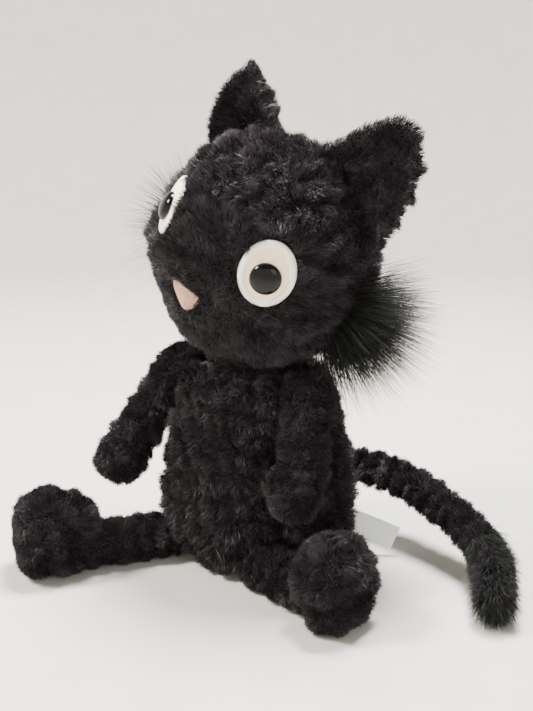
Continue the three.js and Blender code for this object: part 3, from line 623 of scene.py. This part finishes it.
def buildHead():
    local = headGrid()
    flat = local.reshape(-1, 3)
    crown = smoothStep(-0.001, 0.004, browSide(flat))
    behind = smoothStep(0.004, 0.020, flat[:, 1] + 0.012)
    shaggyShare = np.maximum(crown, behind)
    cheek = smoothStep(0.034, 0.060, np.linalg.norm(flat - noseSite["place"], axis=1)) * (1 - shaggyShare)
    muzzle = 0
    for aside, above, puff in headShape["puffs"]:
        far = np.linalg.norm(flat - onHead(aside, above)[0], axis=1)
        muzzle = muzzle + puff * np.exp(-((far / (headShape["puffReach"] * mm)) ** 2))
    hollow = np.exp(-(((browSide(flat) + 0.005) / 0.005) ** 2)) * (1 - behind)

    def crownField(places):
        inner = toHead(places)
        arc = np.arctan2(inner[:, 0], inner[:, 2]) * halves[0]
        return bandField(lambda p: arc, 31, pitch=15, share=0.5)(places)

    def cheekField(places):
        inner = toHead(places)
        return bandField(lambda p: inner[:, 2] - 0.3 * inner[:, 0], 33, pitch=13, share=0.5)(places)

    grid = fromHead(local)
    normal = unit(flat / halves**2) @ headMatrix.T
    spots = grid.reshape(-1, 3)
    rise = shaggyShare * (1.0 + 2.2 * np.clip(crownField(spots), -1, 1))
    rise += cheek * (0.8 + 1.5 * np.clip(cheekField(spots), -1, 1)) - 1.6 * hollow * cheek
    rise = np.maximum(rise + muzzle, -0.9) * faceRoom(flat)
    grid = grid + (normal * rise[:, None] * mm).reshape(grid.shape)
    skin = shell("headSkin", grid, backing)
    dress(skin, "head", ["face_panel", "crown_panel", "head_back_panel"])

    sites = scatter(grid, 17500, 32)
    own = toHead(sites["place"])
    hidden = np.linalg.norm(sites["place"] - pivotOf["neck_turn"], axis=1) < 0.024
    sites = kept(sites, clearOfFace(own) & ~hidden)
    own = toHead(sites["place"])
    brow = browSide(own)
    isBack = own[:, 1] > 0.002
    isCrown = (brow > 0) & ~isBack
    isFace = ~isBack & ~isCrown

    # The short face pile is brushed away from the nose, and grows longer towards the cheeks.
    faceSites = kept(sites, isFace)
    inner = own[isFace]
    away = inner - noseSite["place"]
    distance = np.linalg.norm(away, axis=1)
    nap = unit(away) @ headMatrix.T
    nap = nap - (nap * faceSites["normal"]).sum(1, keepdims=True) * faceSites["normal"]
    cheekShare = smoothStep(0.028, 0.056, distance)
    faceSites = shaggy(faceSites, cheekField, nap * 0.7, lean=1.0, grow=0.15, tone=0.1)
    faceSites["longer"] = faceSites["longer"] * (1 + 0.7 * cheekShare)
    faceSites["tone"] = faceSites["tone"] - 0.22 * (1 - cheekShare) + 0.2 * cheekShare
    look = {**pileLook, "length": 3.6, "blades": 11, "spread": 1.2, "width": 0.3, "curve": 55}
    look = {**look, "gather": 0.2, "sink": 0.3, "seed": 34, "stray": 0.12, "curl": 0.04}
    for name, half in (("leftFaceFur", inner[:, 0] > 0), ("rightFaceFur", inner[:, 0] <= 0)):
        attach(growPile(name, kept(faceSites, half), look, facePile), "head")

    isLeft = own[:, 0] > 0
    panels = (
        ("crownFur", isCrown, 35),
        ("leftBackFur", isBack & isLeft, 36),
        ("rightBackFur", isBack & ~isLeft, 37),
    )
    for name, mask, seed in panels:
        part = shaggy(kept(sites, mask), crownField, headMatrix @ np.array([0, -0.35, -0.1]))
        # Painted highlight: the crown's pile is painted lighter, as if lit from above; the back of the head
        # is set a little lighter.
        part["tone"] = part["tone"] + (0.26 if name == "crownFur" else 0.12)
        look = {**pileLook, "length": 6.4, "blades": 9, "spread": 1.6, "curve": 40, "gather": 0.3}
        look["seed"] = seed
        attach(growPile(name, part, look, bodyPile), "head")


def satinMaterial():
    material, nodes, links, shader = newMaterial("satinThread", 0.45, 0.4, 0.3, (1, 0.97, 0.92))
    place = nodes.new("ShaderNodeTexCoord")
    noise = nodes.new("ShaderNodeTexNoise")
    noise.inputs["Scale"].default_value = 900
    links.new(place.outputs["Object"], noise.inputs["Vector"])
    threadColors = [(0.3, (0.86, 0.78, 0.66)), (0.7, (0.95, 0.90, 0.82))]
    color = addRamp(nodes, links, noise.outputs["Fac"], threadColors)
    links.new(color, shader.inputs["Base Color"])
    raised = nodes.new("ShaderNodeBump")
    raised.inputs["Strength"].default_value = 0.3
    raised.inputs["Distance"].default_value = 0.0001
    links.new(noise.outputs["Fac"], raised.inputs["Height"])
    links.new(raised.outputs["Normal"], shader.inputs["Normal"])
    return material


def glossMaterial():
    material, nodes, links, shader = newMaterial("eyeGloss", 0.05, 0.22)
    place = nodes.new("ShaderNodeTexCoord")
    noise = nodes.new("ShaderNodeTexNoise")
    noise.inputs["Scale"].default_value = 160
    links.new(place.outputs["Object"], noise.inputs["Vector"])
    domeColors = [(0.4, (0.002, 0.002, 0.0025)), (0.65, (0.004, 0.004, 0.005))]
    color = addRamp(nodes, links, noise.outputs["Fac"], domeColors)
    links.new(color, shader.inputs["Base Color"])
    dust = addRamp(nodes, links, noise.outputs["Fac"], [(0.45, (0.05,) * 3), (0.75, (0.16,) * 3)])
    links.new(dust, shader.inputs["Roughness"])
    return material


def buildEye(side, site, satin, gloss):
    width, height = eyeShape["patchWidth"] * mm, eyeShape["patchHeight"] * mm
    angle = np.linspace(0, 2 * np.pi, 180, endpoint=False)
    # The felt oval: rows go from the middle out over the face, round the edge and back underneath.
    rows = [(0.0, 1.5), (0.3, 1.5), (0.6, 1.5), (0.85, 1.5), (1.0, 1.4), (1.04, 1.0)]
    rows += [(1.0, 0.4), (0.5, 0.4), (0.0, 0.4)]
    grid = np.stack(
        [
            laidOnHead(site, share * width * np.cos(angle), share * height * np.sin(angle), lift * mm)
            for share, lift in rows
        ]
    )
    felt = shell(f"{side}EyePatch", grid, feltCloth)
    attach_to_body(felt, "head")
    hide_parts(f"{side}_eye_patch")

    # The rim: a half-round band whose height rises and falls once for each thread laid across it.
    around = np.linspace(0, 2 * np.pi, eyeShape["stitches"] * 6, endpoint=False)
    section = np.linspace(0, np.pi, 15)
    band = eyeShape["rimWidth"] * mm
    middle = eyeShape["rimReach"] * mm - band / 2
    thread = 0.5 + 0.5 * np.cos(around * eyeShape["stitches"] + 1.2 * np.sin(around * 7))
    parts = []
    for turn in section:
        out = middle - band / 2 * math.cos(turn) * (1 + 0.05 * thread)
        lift = (0.9 + (eyeShape["rimHeight"] + 0.18 * thread) * math.sin(turn)) * mm
        parts.append(laidOnHead(site, (width + out) * np.cos(around), (height + out) * np.sin(around), lift))
    reachA, reachB = (width + middle) * np.cos(around), (height + middle) * np.sin(around)
    under = [laidOnHead(site, reachA, reachB, 0.5 * mm)]
    rim = tube(f"{side}EyeRim", np.stack(parts + under), satin)
    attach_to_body(rim, "head")
    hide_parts(f"{side}_eye_rim")

    # The dome: a low polished cap with a narrow flat flange round its foot.
    seat = site["place"] - site["rise"] * eyeShape["drop"] * mm
    radius, top = eyeShape["domeRadius"], eyeShape["domeHeight"]
    turn = np.linspace(0, np.pi / 2, 22)
    profile = [(radius * math.sin(t), 1.9 + (top - 0.3) * math.cos(t)) for t in turn]
    profile += [(radius + 0.15, 1.75), (radius, 1.6), (radius * 0.5, 1.5), (0, 1.5)]
    shape = np.array(profile) * mm
    circle = np.cos(angle)[None, :, None] * site["across"] + np.sin(angle)[None, :, None] * site["rise"]
    grid = seat + shape[:, :1, None] * circle + shape[:, 1:, None] * site["outward"]
    eye = shell(f"{side}Eye", fromHead(grid), gloss)
    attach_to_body(eye, "head")
    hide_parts(f"{side}_eye")


def tube(name, grid, material):
    # A band that closes both round its section, the rows, and along its length, the columns.
    rows, columns = grid.shape[:2]
    row, column = np.meshgrid(np.arange(rows), np.arange(columns), indexing="ij")
    nextRow, after = (row + 1) % rows, (column + 1) % columns
    corners = [
        row * columns + column,
        row * columns + after,
        nextRow * columns + after,
        nextRow * columns + column,
    ]
    quads = np.stack(corners, -1).reshape(-1, 4)
    points = grid.reshape(-1, 3)
    a, b, d = points[quads[:, 0]], points[quads[:, 1]], points[quads[:, 3]]
    if (a * np.cross(b - a, d - a)).sum() < 0:
        quads = quads[:, ::-1]
    return newPiece(name, points, [quads], material)


def buildNose():
    angle = np.linspace(0, 2 * np.pi, 96, endpoint=False)
    reach = noseReach(angle)
    wide, tall = noseShape["halfWidth"] * mm, noseShape["height"] / 2 * mm
    shares = np.linspace(0, 1, 16)
    rows = [(share, 0.5 + noseShape["puff"] * (1 - share**3)) for share in shares]
    rows += [(0.98, 0.3), (0.5, 0.3), (0, 0.3)]
    grid = np.stack(
        [
            laidOnHead(noseSite, s * reach * wide * np.cos(angle), s * reach * tall * np.sin(angle), h * mm)
            for s, h in rows
        ]
    )
    skin = shell("nosePad", grid, noseCloth)
    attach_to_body(skin, "head")
    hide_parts("nose_pad")
    sites = scatter(grid, 2600, 41)
    outward = noseSite["outward"] @ headMatrix.T
    sites = kept(sites, sites["normal"] @ outward > 0.2)
    look = {**pileLook, "length": 0.9, "blades": 6, "spread": 0.35, "width": 0.16, "sink": 0.1, "curve": 30}
    look = {**look, "stray": 0.3, "seed": 42}
    attach(growPile("noseFur", sites, look, nosePile), "head")


def buildFace():
    satin, gloss = satinMaterial(), glossMaterial()
    for side, site in eyeSites.items():
        buildEye(side, site, satin, gloss)
    buildNose()


cheekShape = {
    "leftAside": 106,
    "rightAside": 84,
    "below": 12,
    "width": 15,
    "height": 21,
    "leftLength": 58,
    "rightLength": 46,
    "droop": -4,
    "sweep": 8,
    "leftStrands": 6500,
    "rightStrands": 1500,
}


def longBlades(name, root, way, length, look, material, bendTo):
    # Fine strands of four stretches, each stretch turned a little further towards bendTo.
    rng = np.random.default_rng(look["seed"])
    count = len(root)
    side = unit(np.cross(way, rng.normal(size=(count, 3))))
    stations = np.linspace(0, 1, 5)
    curve = rng.normal(size=(count, 3)) * look["curl"]
    line = [
        root + way * (length * s)[:, None] + (bendTo + curve) * (length * s**2)[:, None] * look["bend"]
        for s in stations
    ]
    taper = np.array([1.0, 0.9, 0.7, 0.45])
    half = side * look["width"] * mm / 2
    points = []
    for station in range(4):
        points += [line[station] - half * taper[station], line[station] + half * taper[station]]
    points.append(line[4])
    points = np.stack(points, 1).reshape(-1, 3)
    points[:, 2] = np.maximum(points[:, 2], 0.0004 + 0.001 * rng.random(len(points)))
    first = np.arange(count)[:, None] * 9
    quads = np.concatenate([first + np.array([0, 1, 3, 2]) + 2 * k for k in range(3)])
    tips = first + np.array([6, 7, 8])
    tone = np.clip(0.45 + 0.2 * rng.normal(size=(count, 1)), 0.02, 0.98)
    u = tone + np.array([-0.004, 0.004] * 4 + [0.0])
    v = np.broadcast_to(np.array([0.03, 0.03, 0.3, 0.3, 0.55, 0.55, 0.8, 0.8, 0.98]), u.shape)
    return newPiece(name, points, [quads, tips], material, np.stack([u, v], -1).reshape(-1, 2))


def buildCheek(side, sign, seed):
    rng = np.random.default_rng(seed)
    site = siteFrame(sign * cheekShape[f"{side}Aside"], -cheekShape["below"])
    count = cheekShape[f"{side}Strands"]
    a = rng.normal(0, 0.42, count) * cheekShape["width"] * mm
    b = rng.normal(0, 0.42, count) * cheekShape["height"] * mm
    root = laidOnHead(site, a, b, -0.5 * mm)
    outward = unit(toHead(root) / halves**2) @ headMatrix.T
    spread = (a[:, None] * site["across"] + b[:, None] * site["rise"]) @ headMatrix.T / (18 * mm)
    sweep, droop = math.radians(cheekShape["sweep"]), math.radians(cheekShape["droop"])
    lean = np.array([0, math.sin(sweep), -math.sin(droop)])
    lean = lean @ headMatrix.T
    way = unit(outward + lean + 0.85 * spread + 0.12 * rng.normal(size=(count, 3)))
    offCentre = np.hypot(a / (cheekShape["width"] * mm), b / (cheekShape["height"] * mm))
    reach = np.clip(1 - 0.25 * offCentre, 0.5, 1)
    length = cheekShape[f"{side}Length"] * mm * rng.uniform(0.4, 1.05, count) * reach
    look = {"seed": seed + 1, "curl": 0.5, "bend": 0.16, "width": 0.22}
    tuft = longBlades(f"{side}CheekTuft", root, way, length, look, longPile, np.array([0, 0.3, -0.6]))
    attach(tuft, "head")
    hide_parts(f"{side}_cheek_tuft")


earShape = {
    "leftAside": 35,
    "rightAside": 40,
    "behind": 12,
    "leftHalf": 32,
    "rightHalf": 28.5,
    "leftHeight": 52,
    "rightHeight": 43,
    "leftLean": 8,
    "rightLean": 3,
    "outerBulge": 0.16,
    "thick": 5,
    "cup": 11,
    "rows": 70,
    "columns": 96,
}


def earGrid(side, sign, aside):
    # Across the ear runs an ellipse that is cupped forwards, and its half width shrinks as a rounded arch.
    share = math.sqrt(1 - (earShape["behind"] * mm / halves[1]) ** 2)
    angle = math.radians(sign * aside)
    base = np.array(
        [halves[0] * share * math.sin(angle), earShape["behind"] * mm, halves[2] * share * math.cos(angle)]
    )
    rise = unit(np.array([math.sin(angle), 0, math.cos(angle)]))
    across = np.array([rise[2], 0, -rise[0]])
    back = np.array([0, 1.0, 0])
    v = np.linspace(0, 1, earShape["rows"])[:, None]
    round_ = np.linspace(0, 2 * np.pi, earShape["columns"], endpoint=False)
    u = np.cos(round_)[None, :]
    baseHalf, height = earShape[f"{side}Half"], earShape[f"{side}Height"]
    half = baseHalf * np.sqrt(np.clip(1 - v**3.4, 0, 1)) * (1 - 0.3 * v)
    thick = earShape["thick"] / 2 * np.sin(round_)[None, :] * np.clip((1 - v) * 6, 0, 1) ** 0.5
    cup = -earShape["cup"] * u**2 * (half / baseHalf) ** 1.2
    drop = -(60 - np.sqrt(np.maximum(60**2 - (half * u) ** 2, 0))) * (1 - v)
    tall = -4 + (height + 4) * v + drop
    outer = 1 + earShape["outerBulge"] * sign * u
    shift = half * u * outer - sign * earShape[f"{side}Lean"] * np.maximum(v, 0) ** 1.3
    offset = shift[..., None] * across + tall[..., None] * rise + (cup + thick + 3)[..., None] * back
    grid = base + offset * mm
    grid[0] = grid[0].mean(0)
    grid[-1] = grid[-1].mean(0)
    return fromHead(grid)


def buildEar(side, sign, aside, seed):
    grid = earGrid(side, sign, aside)
    field = bandField(lambda p: p[:, 2], seed, pitch=12, share=0.3)
    skin = shell(f"{side}EarSkin", swollen(grid, field, 0.5), backing)
    dress(skin, f"{side}_ear", [f"{side}_ear_lining", f"{side}_ear_back"])
    sites = scatter(grid, 3300, seed + 1)
    forward = headMatrix @ np.array([0, -1.0, 0])
    sites = kept(sites, np.linalg.norm(toHead(sites["place"]) / halves, axis=1) > 1.0)
    inner = sites["normal"] @ forward > 0.35
    outward = unit(sites["place"] - headCentre)
    lining = shaggy(kept(sites, inner), field, outward[inner] * 0.6, grow=0.1, tone=0.06)
    lining["tone"] = lining["tone"] - 0.12
    look = {**pileLook, "length": 4, "spread": 1.2, "blades": 10, "seed": seed + 2}
    attach(growPile(f"{side}EarLiningFur", lining, look, facePile), f"{side}_ear")
    outer = shaggy(kept(sites, ~inner), field, outward[~inner] * 0.8)
    look = {**pileLook, "length": 5.8, "spread": 1.3, "blades": 11, "curve": 8, "gather": 0.45}
    look["seed"] = seed + 3
    attach(growPile(f"{side}EarFur", outer, look, bodyPile), f"{side}_ear")


def limbGrid(path, radii, columns=48, capRows=9):
    # Circles square to a curve, closed by a half ball at each end.
    path = np.asarray(path, float)
    line = alongCurve(path, 60)
    radius = np.interp(np.linspace(0, 1, 60), np.linspace(0, 1, len(radii)), radii) * mm
    tangent = unit(np.gradient(line, axis=0))
    reference = unit(np.cross(tangent, np.array([0.31, 0.2, 0.93])))
    other = np.cross(tangent, reference)
    turn = np.linspace(0, np.pi / 2, capRows)[:-1]
    startShift, startSize = -np.cos(turn), np.sin(turn)
    centres = [line[:1] + (tangent[0] * radius[0]) * startShift[:, None], line]
    centres.append(line[-1:] + (tangent[-1] * radius[-1]) * -startShift[::-1, None])
    sizes = np.concatenate([radius[0] * startSize, radius, radius[-1] * startSize[::-1]])
    repeats = np.ones(len(reference), int)
    repeats[[0, -1]] = capRows
    first = np.repeat(reference, repeats, 0)
    second = np.repeat(other, repeats, 0)
    angle = np.linspace(0, 2 * np.pi, columns, endpoint=False)[None, :, None]
    ring = np.cos(angle) * first[:, None] + np.sin(angle) * second[:, None]
    return np.concatenate(centres)[:, None] + ring * sizes[:, None, None]


def alongLine(start, end):
    way = unit(end - start)
    return lambda places: (places - start) @ way


def buildLimb(name, body, nodes, path, radii, sitesCount, seed, distance, look, nap, pitch=10.5, share=0.5):
    field = bandField(distance, seed, pitch=pitch, share=share)
    grid = swollen(limbGrid(path, radii), field, 0.8)
    grid[..., 2] = np.maximum(grid[..., 2], 0.0008)
    skin = shell(f"{name}Skin", grid, backing)
    dress(skin, body, nodes)
    sites = scatter(grid, sitesCount, seed + 2)
    sites = shaggy(sites, field, nap)
    fur = growPile(f"{name}Fur", sites, {**pileLook, "curve": 12, "seed": seed + 3, **look}, bodyPile)
    attach(fur, body)


armShape = {
    "leftRootRadius": 12.2,
    "rightRootRadius": 13.5,
    "wristRadius": 10.8,
    "pawRadius": 13,
    "slimmer": 0.2,
    "shoulderAside": 19,
    "shoulderHeight": 107.5,
    "leftPaw": {"forward": 35, "height": 62, "out": 3},
    "rightPaw": {"forward": 34, "height": 54, "out": 17},
    "gap": 0.8,
}


def buildArm(side, sign, seed):
    paw = armShape[f"{side}Paw"]

    def planAngle(forward):
        return -forward if sign > 0 else 180 + forward

    shoulder = pivotOf[f"{side}_shoulder_lift"]
    pawOut = armShape["pawRadius"] + armShape["gap"] + paw["out"]
    end = besideTorso(planAngle(paw["forward"]), paw["height"], pawOut)
    elbowAngle = (armShape["shoulderAside"] + paw["forward"]) / 2
    elbowHeight = (armShape["shoulderHeight"] + paw["height"]) / 2
    elbowOut = armShape["wristRadius"] + armShape["gap"] + paw["out"] / 2
    elbow = besideTorso(planAngle(elbowAngle), elbowHeight, elbowOut)
    pawRadius = armShape["pawRadius"] - armShape["slimmer"]
    radii = (armShape[f"{side}RootRadius"], armShape["wristRadius"], pawRadius)
    nodes = [f"{side}_arm_cover", f"{side}_shoulder_plug"]
    distance = alongLine(shoulder, end)
    nap = unit(end - shoulder) * 0.25
    look = {"length": 5}
    path = (shoulder, elbow, end)
    buildLimb(f"{side}Arm", f"{side}_arm", nodes, path, radii, 2500, seed, distance, look, nap)


footShape = {
    "halfWidth": 18.5,
    "halfHeight": 23.5,
    "leftHalfLength": 19,
    "rightHalfLength": 24,
    "soleInset": 5,
    "soleRound": 5,
    "heelBehind": 6,
    "centreHeight": 24.5,
    "legRadius": 10.7,
}


def footGrid(centre, legway, length):
    # An ellipsoid about the leg's direction, whose far end is pressed flat where the sole is sewn in.
    across = unit(np.cross(up, legway))
    polar = np.linspace(0, np.pi, 80)[:, None]
    angle = np.linspace(0, 2 * np.pi, 110, endpoint=False)
    wide = np.sin(polar) * np.cos(angle) * footShape["halfWidth"]
    tall = np.sin(polar) * np.sin(angle) * footShape["halfHeight"]
    far = np.cos(polar) * length
    limit, soft = length - footShape["soleInset"], footShape["soleRound"]
    far = np.where(far > limit - soft, limit - soft * np.exp(-(far - limit + soft) / soft), far) + 0 * angle
    return centre + (wide[..., None] * across + tall[..., None] * up + far[..., None] * legway) * mm


def buildLeg(side, sitesCount, seed):
    hip, ankle = pivotOf[f"{side}_hip_raise"], pivotOf[f"{side}_ankle_flex"]
    legway = unit(ankle - hip)
    nodes = [f"{side}_leg_cover", f"{side}_hip_plug"]
    radii = (footShape["legRadius"], footShape["legRadius"])
    middle = (hip + ankle) / 2
    buildLimb(
        f"{side}Leg",
        f"{side}_leg",
        nodes,
        (hip, middle, ankle),
        radii,
        sitesCount,
        seed,
        alongLine(hip, ankle),
        {"length": 5},
        legway * 0.2,
    )
    length = footShape[f"{side}HalfLength"]
    centre = ankle + legway * (length - footShape["heelBehind"]) * mm
    centre[2] = footShape["centreHeight"] * mm
    field = bandField(lambda p: (p - centre) @ legway, seed + 10, pitch=11, share=0.35)
    grid = swollen(footGrid(centre, legway, length), field, 1.1)
    grid[..., 2] = np.maximum(grid[..., 2], 0.0008)
    skin = shell(f"{side}FootSkin", grid, backing)
    dress(skin, f"{side}_foot", [f"{side}_foot_cover", f"{side}_foot_sole"])
    sites = scatter(grid, 3100, seed + 11)
    far = (sites["place"] - centre) @ legway
    sole = (far > (length - footShape["soleInset"] - 3) * mm) & (sites["normal"] @ legway > 0.6)
    upper = shaggy(kept(sites, ~sole), field, up * 0.1)
    look = {**pileLook, "length": 5.4, "blades": 12, "curve": 16, "seed": seed + 12}
    attach(growPile(f"{side}FootFur", upper, look, bodyPile), f"{side}_foot")
    flat = kept(sites, sole)
    fromMiddle = flat["place"] - centre
    radial = unit(fromMiddle - (fromMiddle @ legway)[:, None] * legway)
    flat = shaggy(flat, field, radial * -0.35 + up * -0.2, grow=0.1, tone=0.08)
    look = {**look, "length": 4, "blades": 14, "seed": seed + 13}
    attach(growPile(f"{side}SoleFur", flat, look, facePile), f"{side}_foot")


tailShape = {
    "route": [
        (0, 0, 0),
        (30, 8.5, -2),
        (58, 8, -5),
        (87, 1, -11),
        (113, -8, -19),
        (130, -23, -25),
        (143, -45, -30),
    ],
    "joints": (0, 2, 4, 6),
    "radii": (8, 8.3, 8.3, 7),
}


def buildTail():
    root = pivotOf["tail_lift"]
    route = root + np.array(tailShape["route"]) * mm
    whole = alongCurve(route, 61)
    steps = np.linalg.norm(np.diff(whole, axis=0), axis=1)
    travelled = np.concatenate([[0], np.cumsum(steps)])

    def distance(places):
        gaps = np.linalg.norm(places[:, None] - whole[None], axis=2)
        order = np.exp(-((gaps / 0.008) ** 2))
        return (order * travelled).sum(1) / np.maximum(order.sum(1), 1e-9)

    for index, part in enumerate(("base", "middle", "tip")):
        low, high = tailShape["joints"][index] * 10, tailShape["joints"][index + 1] * 10
        path = whole[low : high + 1 : 5]
        radii = tailShape["radii"][index : index + 2]
        nodes = [f"tail_{part}_cover"] + (["tail_plug"] if part == "base" else [])
        title = f"tail{part.title()}"
        look = {"length": 4.8, "blades": 11}
        away = unit(path[-1] - path[0])
        count = 1500 if part != "tip" else 900
        body, seed = f"tail_{part}", 60 + 5 * index
        buildLimb(title, body, nodes, path, radii, count, seed, distance, look, away * 0.15, 11, 0.75)

    # The last third carries long wispy fur that follows the tail and droops past its end.
    grid = limbGrid(whole[40::5], tailShape["radii"][2:])
    sites = scatter(grid, 7500, 80)
    reach = (distance(sites["place"]) - travelled[40]) / (travelled[-1] - travelled[40])
    rng = np.random.default_rng(81)
    sites = kept(sites, reach > -0.02 + 0.14 * rng.random(len(reach)))
    reach = (distance(sites["place"]) - travelled[40]) / (travelled[-1] - travelled[40])
    nearest = np.linalg.norm(sites["place"][:, None] - whole[None], axis=2).argmin(1)
    onward = unit(np.gradient(whole, axis=0))[nearest]
    way = unit(0.6 * sites["normal"] + 1.0 * onward + 0.14 * rng.normal(size=(len(reach), 3)))
    length = (15 - 1 * np.clip(reach, 0, 1)) * mm * rng.uniform(0.55, 1.05, len(reach))
    look = {"seed": 82, "curl": 0.3, "bend": 0.12, "width": 0.3}
    bendTo = np.array([0, -0.1, -0.5])
    wisps = longBlades("tailTipWisps", sites["place"], way, length, look, longPile, bendTo)
    attach(wisps, "tail_tip")


labelShape = {
    "width": 15,
    "length": 30,
    "thickness": 0.5,
    "angle": 30,  # round the torso, from the cat's left towards its back
    "height": 22,
    "droop": 22,
    "turn": 4,
    "out": 1.6,
}


def buildLabel():
    # A flat ribbon with a slow twist along it and a little wave, with a woven bump pattern over its faces.
    out = math.radians(labelShape["angle"])
    turned = out + math.radians(labelShape["turn"])
    along = np.array([math.cos(turned), math.sin(turned), -math.tan(math.radians(labelShape["droop"]))])
    length = labelShape["length"] * mm
    along = unit(along)
    root = besideTorso(labelShape["angle"], labelShape["height"], labelShape["out"])
    face = unit(np.cross(up, along))
    tall = np.cross(along, face)
    s = np.linspace(0, 1, 40)[:, None]
    t = np.linspace(-0.5, 0.5, 22)[None, :]
    bow = 0.9 * np.sin(np.pi * s) * mm + 0.8 * mm * s**2 * np.sin(2.4 * t + 0.5)
    flat = root + s[..., None] * length * along + t[..., None] * labelShape["width"] * mm * tall
    front = flat + (bow + labelShape["thickness"] * mm / 2)[..., None] * face
    back = flat + (bow - labelShape["thickness"] * mm / 2)[..., None] * face
    loops = np.concatenate([front, back[:, ::-1]], 1)
    caps = [loops[0].mean(0), loops[-1].mean(0)]
    start, end = (np.broadcast_to(cap, loops[:1].shape) for cap in caps)
    grid = np.concatenate([start, loops, end])
    material, nodes, links, shader = newMaterial("labelTape", 0.5, 0.35, 0.3)
    place = nodes.new("ShaderNodeTexCoord")
    weave = nodes.new("ShaderNodeTexWave")
    weave.bands_direction = "Z"
    weave.inputs["Scale"].default_value = 380
    weave.inputs["Distortion"].default_value = 0.6
    links.new(place.outputs["Object"], weave.inputs["Vector"])
    tapeColors = [(0.0, (0.78, 0.80, 0.80)), (1.0, (0.90, 0.91, 0.90))]
    color = addRamp(nodes, links, weave.outputs["Fac"], tapeColors)
    links.new(color, shader.inputs["Base Color"])
    raised = nodes.new("ShaderNodeBump")
    raised.inputs["Strength"].default_value = 0.25
    raised.inputs["Distance"].default_value = 0.00008
    links.new(weave.outputs["Fac"], raised.inputs["Height"])
    links.new(raised.outputs["Normal"], shader.inputs["Normal"])
    label = shell("sewnLabel", grid, material)
    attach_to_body(label, "label")
    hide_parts("sewn_label")


def finishInsides():
    washerColors = ((0.80, 0.80, 0.78), (0.86, 0.86, 0.84))
    washer = clothMaterial("washerPlastic", washerColors, grain=3, roughness=0.5, bump=0.1)
    for node, piece in frame["nodes"].items():
        if piece.hide_render:
            continue
        material, slot = fibre, "fibre_filling"
        if node == "pellet_bag":
            material, slot = cotton, "bag_cotton"
        if node.endswith("washer"):
            material, slot = washer, "washer_plastic"
        piece.data.materials.clear()
        piece.data.materials.append(material)


studio = {
    "cameraPlace": (356.3, -432.1, 273.0),
    "cameraTurn": 39,
    "cameraDip": 15.26,
    "lens": 50.63,
}


def areaLight(name, place, target, size, power, color=(1, 1, 1)):
    data = bpy.data.lights.new(name, "AREA")
    data.shape, data.size, data.energy, data.color = "DISK", size, power, color
    lamp = bpy.data.objects.new(name, data)
    bpy.context.scene.collection.objects.link(lamp)
    lamp.location = place
    aim = np.array(target) - np.array(place)
    lamp.rotation_euler = (
        math.atan2(math.hypot(aim[0], aim[1]), -aim[2]),
        0,
        math.atan2(aim[1], aim[0]) - math.pi / 2,
    )


def buildStudio():
    material, nodes, links, shader = newMaterial("paleFloor", 0.85, 0.2)
    place = nodes.new("ShaderNodeTexCoord")
    noise = nodes.new("ShaderNodeTexNoise")
    noise.inputs["Scale"].default_value = 30
    links.new(place.outputs["Object"], noise.inputs["Vector"])
    floorColors = [(0.3, (0.52, 0.505, 0.47)), (0.7, (0.55, 0.535, 0.50))]
    color = addRamp(nodes, links, noise.outputs["Fac"], floorColors)
    links.new(color, shader.inputs["Base Color"])
    # A disc that curves up into a wall all round: a straight run, a quarter circle, and a straight rise.
    bend = np.linspace(0, np.pi / 2, 24)
    reach = np.concatenate([[0.002, 0.5], 1.0 + 0.4 * np.sin(bend), [1.4]])
    height = np.concatenate([[0, 0], 0.4 - 0.4 * np.cos(bend), [1.1]])
    columns = 96
    angle = np.linspace(0, 2 * np.pi, columns, endpoint=False)
    x, y = np.outer(reach, np.cos(angle)), np.outer(reach, np.sin(angle))
    points = np.stack([x, y, np.broadcast_to(height[:, None], x.shape)], -1).reshape(-1, 3)
    row, column = np.meshgrid(np.arange(len(reach) - 1), np.arange(columns), indexing="ij")
    after = (column + 1) % columns
    inner, outer = row * columns, (row + 1) * columns
    quads = np.stack([inner + column, outer + column, outer + after, inner + after], -1)
    floor = newPiece("floor", points, [quads.reshape(-1, 4), np.arange(columns)[None]], material)
    world = bpy.data.worlds.new("studio")
    bpy.context.scene.world = world
    world.use_nodes = True
    world.node_tree.nodes["Background"].inputs["Color"].default_value = (0.84, 0.84, 0.86, 1)
    world.node_tree.nodes["Background"].inputs["Strength"].default_value = 0.42
    areaLight("keyLight", (-0.55, -0.65, 1.0), (0, 0, 0.12), 0.3, 42, (1, 0.96, 0.90))
    areaLight("fillLight", (1.0, -0.3, 0.6), (0, 0, 0.12), 0.6, 2.5, (0.92, 0.95, 1))
    areaLight("topLight", (0.0, 0.25, 1.15), (0, 0, 0.1), 0.4, 70)
    data = bpy.data.cameras.new("camera")
    data.lens = studio["lens"]
    data.clip_start, data.clip_end = 0.01, 20
    camera = bpy.data.objects.new("camera", data)
    bpy.context.scene.collection.objects.link(camera)
    camera.location = np.array(studio["cameraPlace"]) * mm
    camera.rotation_euler = (math.radians(90 - studio["cameraDip"]), 0, math.radians(studio["cameraTurn"]))
    bpy.context.scene.camera = camera


buildStudio()
print("studio ready")
buildTorso()
buildNeck()
print("torso and neck ready")
buildHead()
buildFace()
buildCheek("left", 1, 51)
buildCheek("right", -1, 54)
buildEar("left", 1, earShape["leftAside"], 90)
buildEar("right", -1, earShape["rightAside"], 95)
print("head ready")
buildArm("left", 1, 100)
buildArm("right", -1, 105)
buildLeg("left", 1500, 120)
buildLeg("right", 1800, 140)
buildTail()
buildLabel()
finishInsides()
print("limbs, tail and label ready")
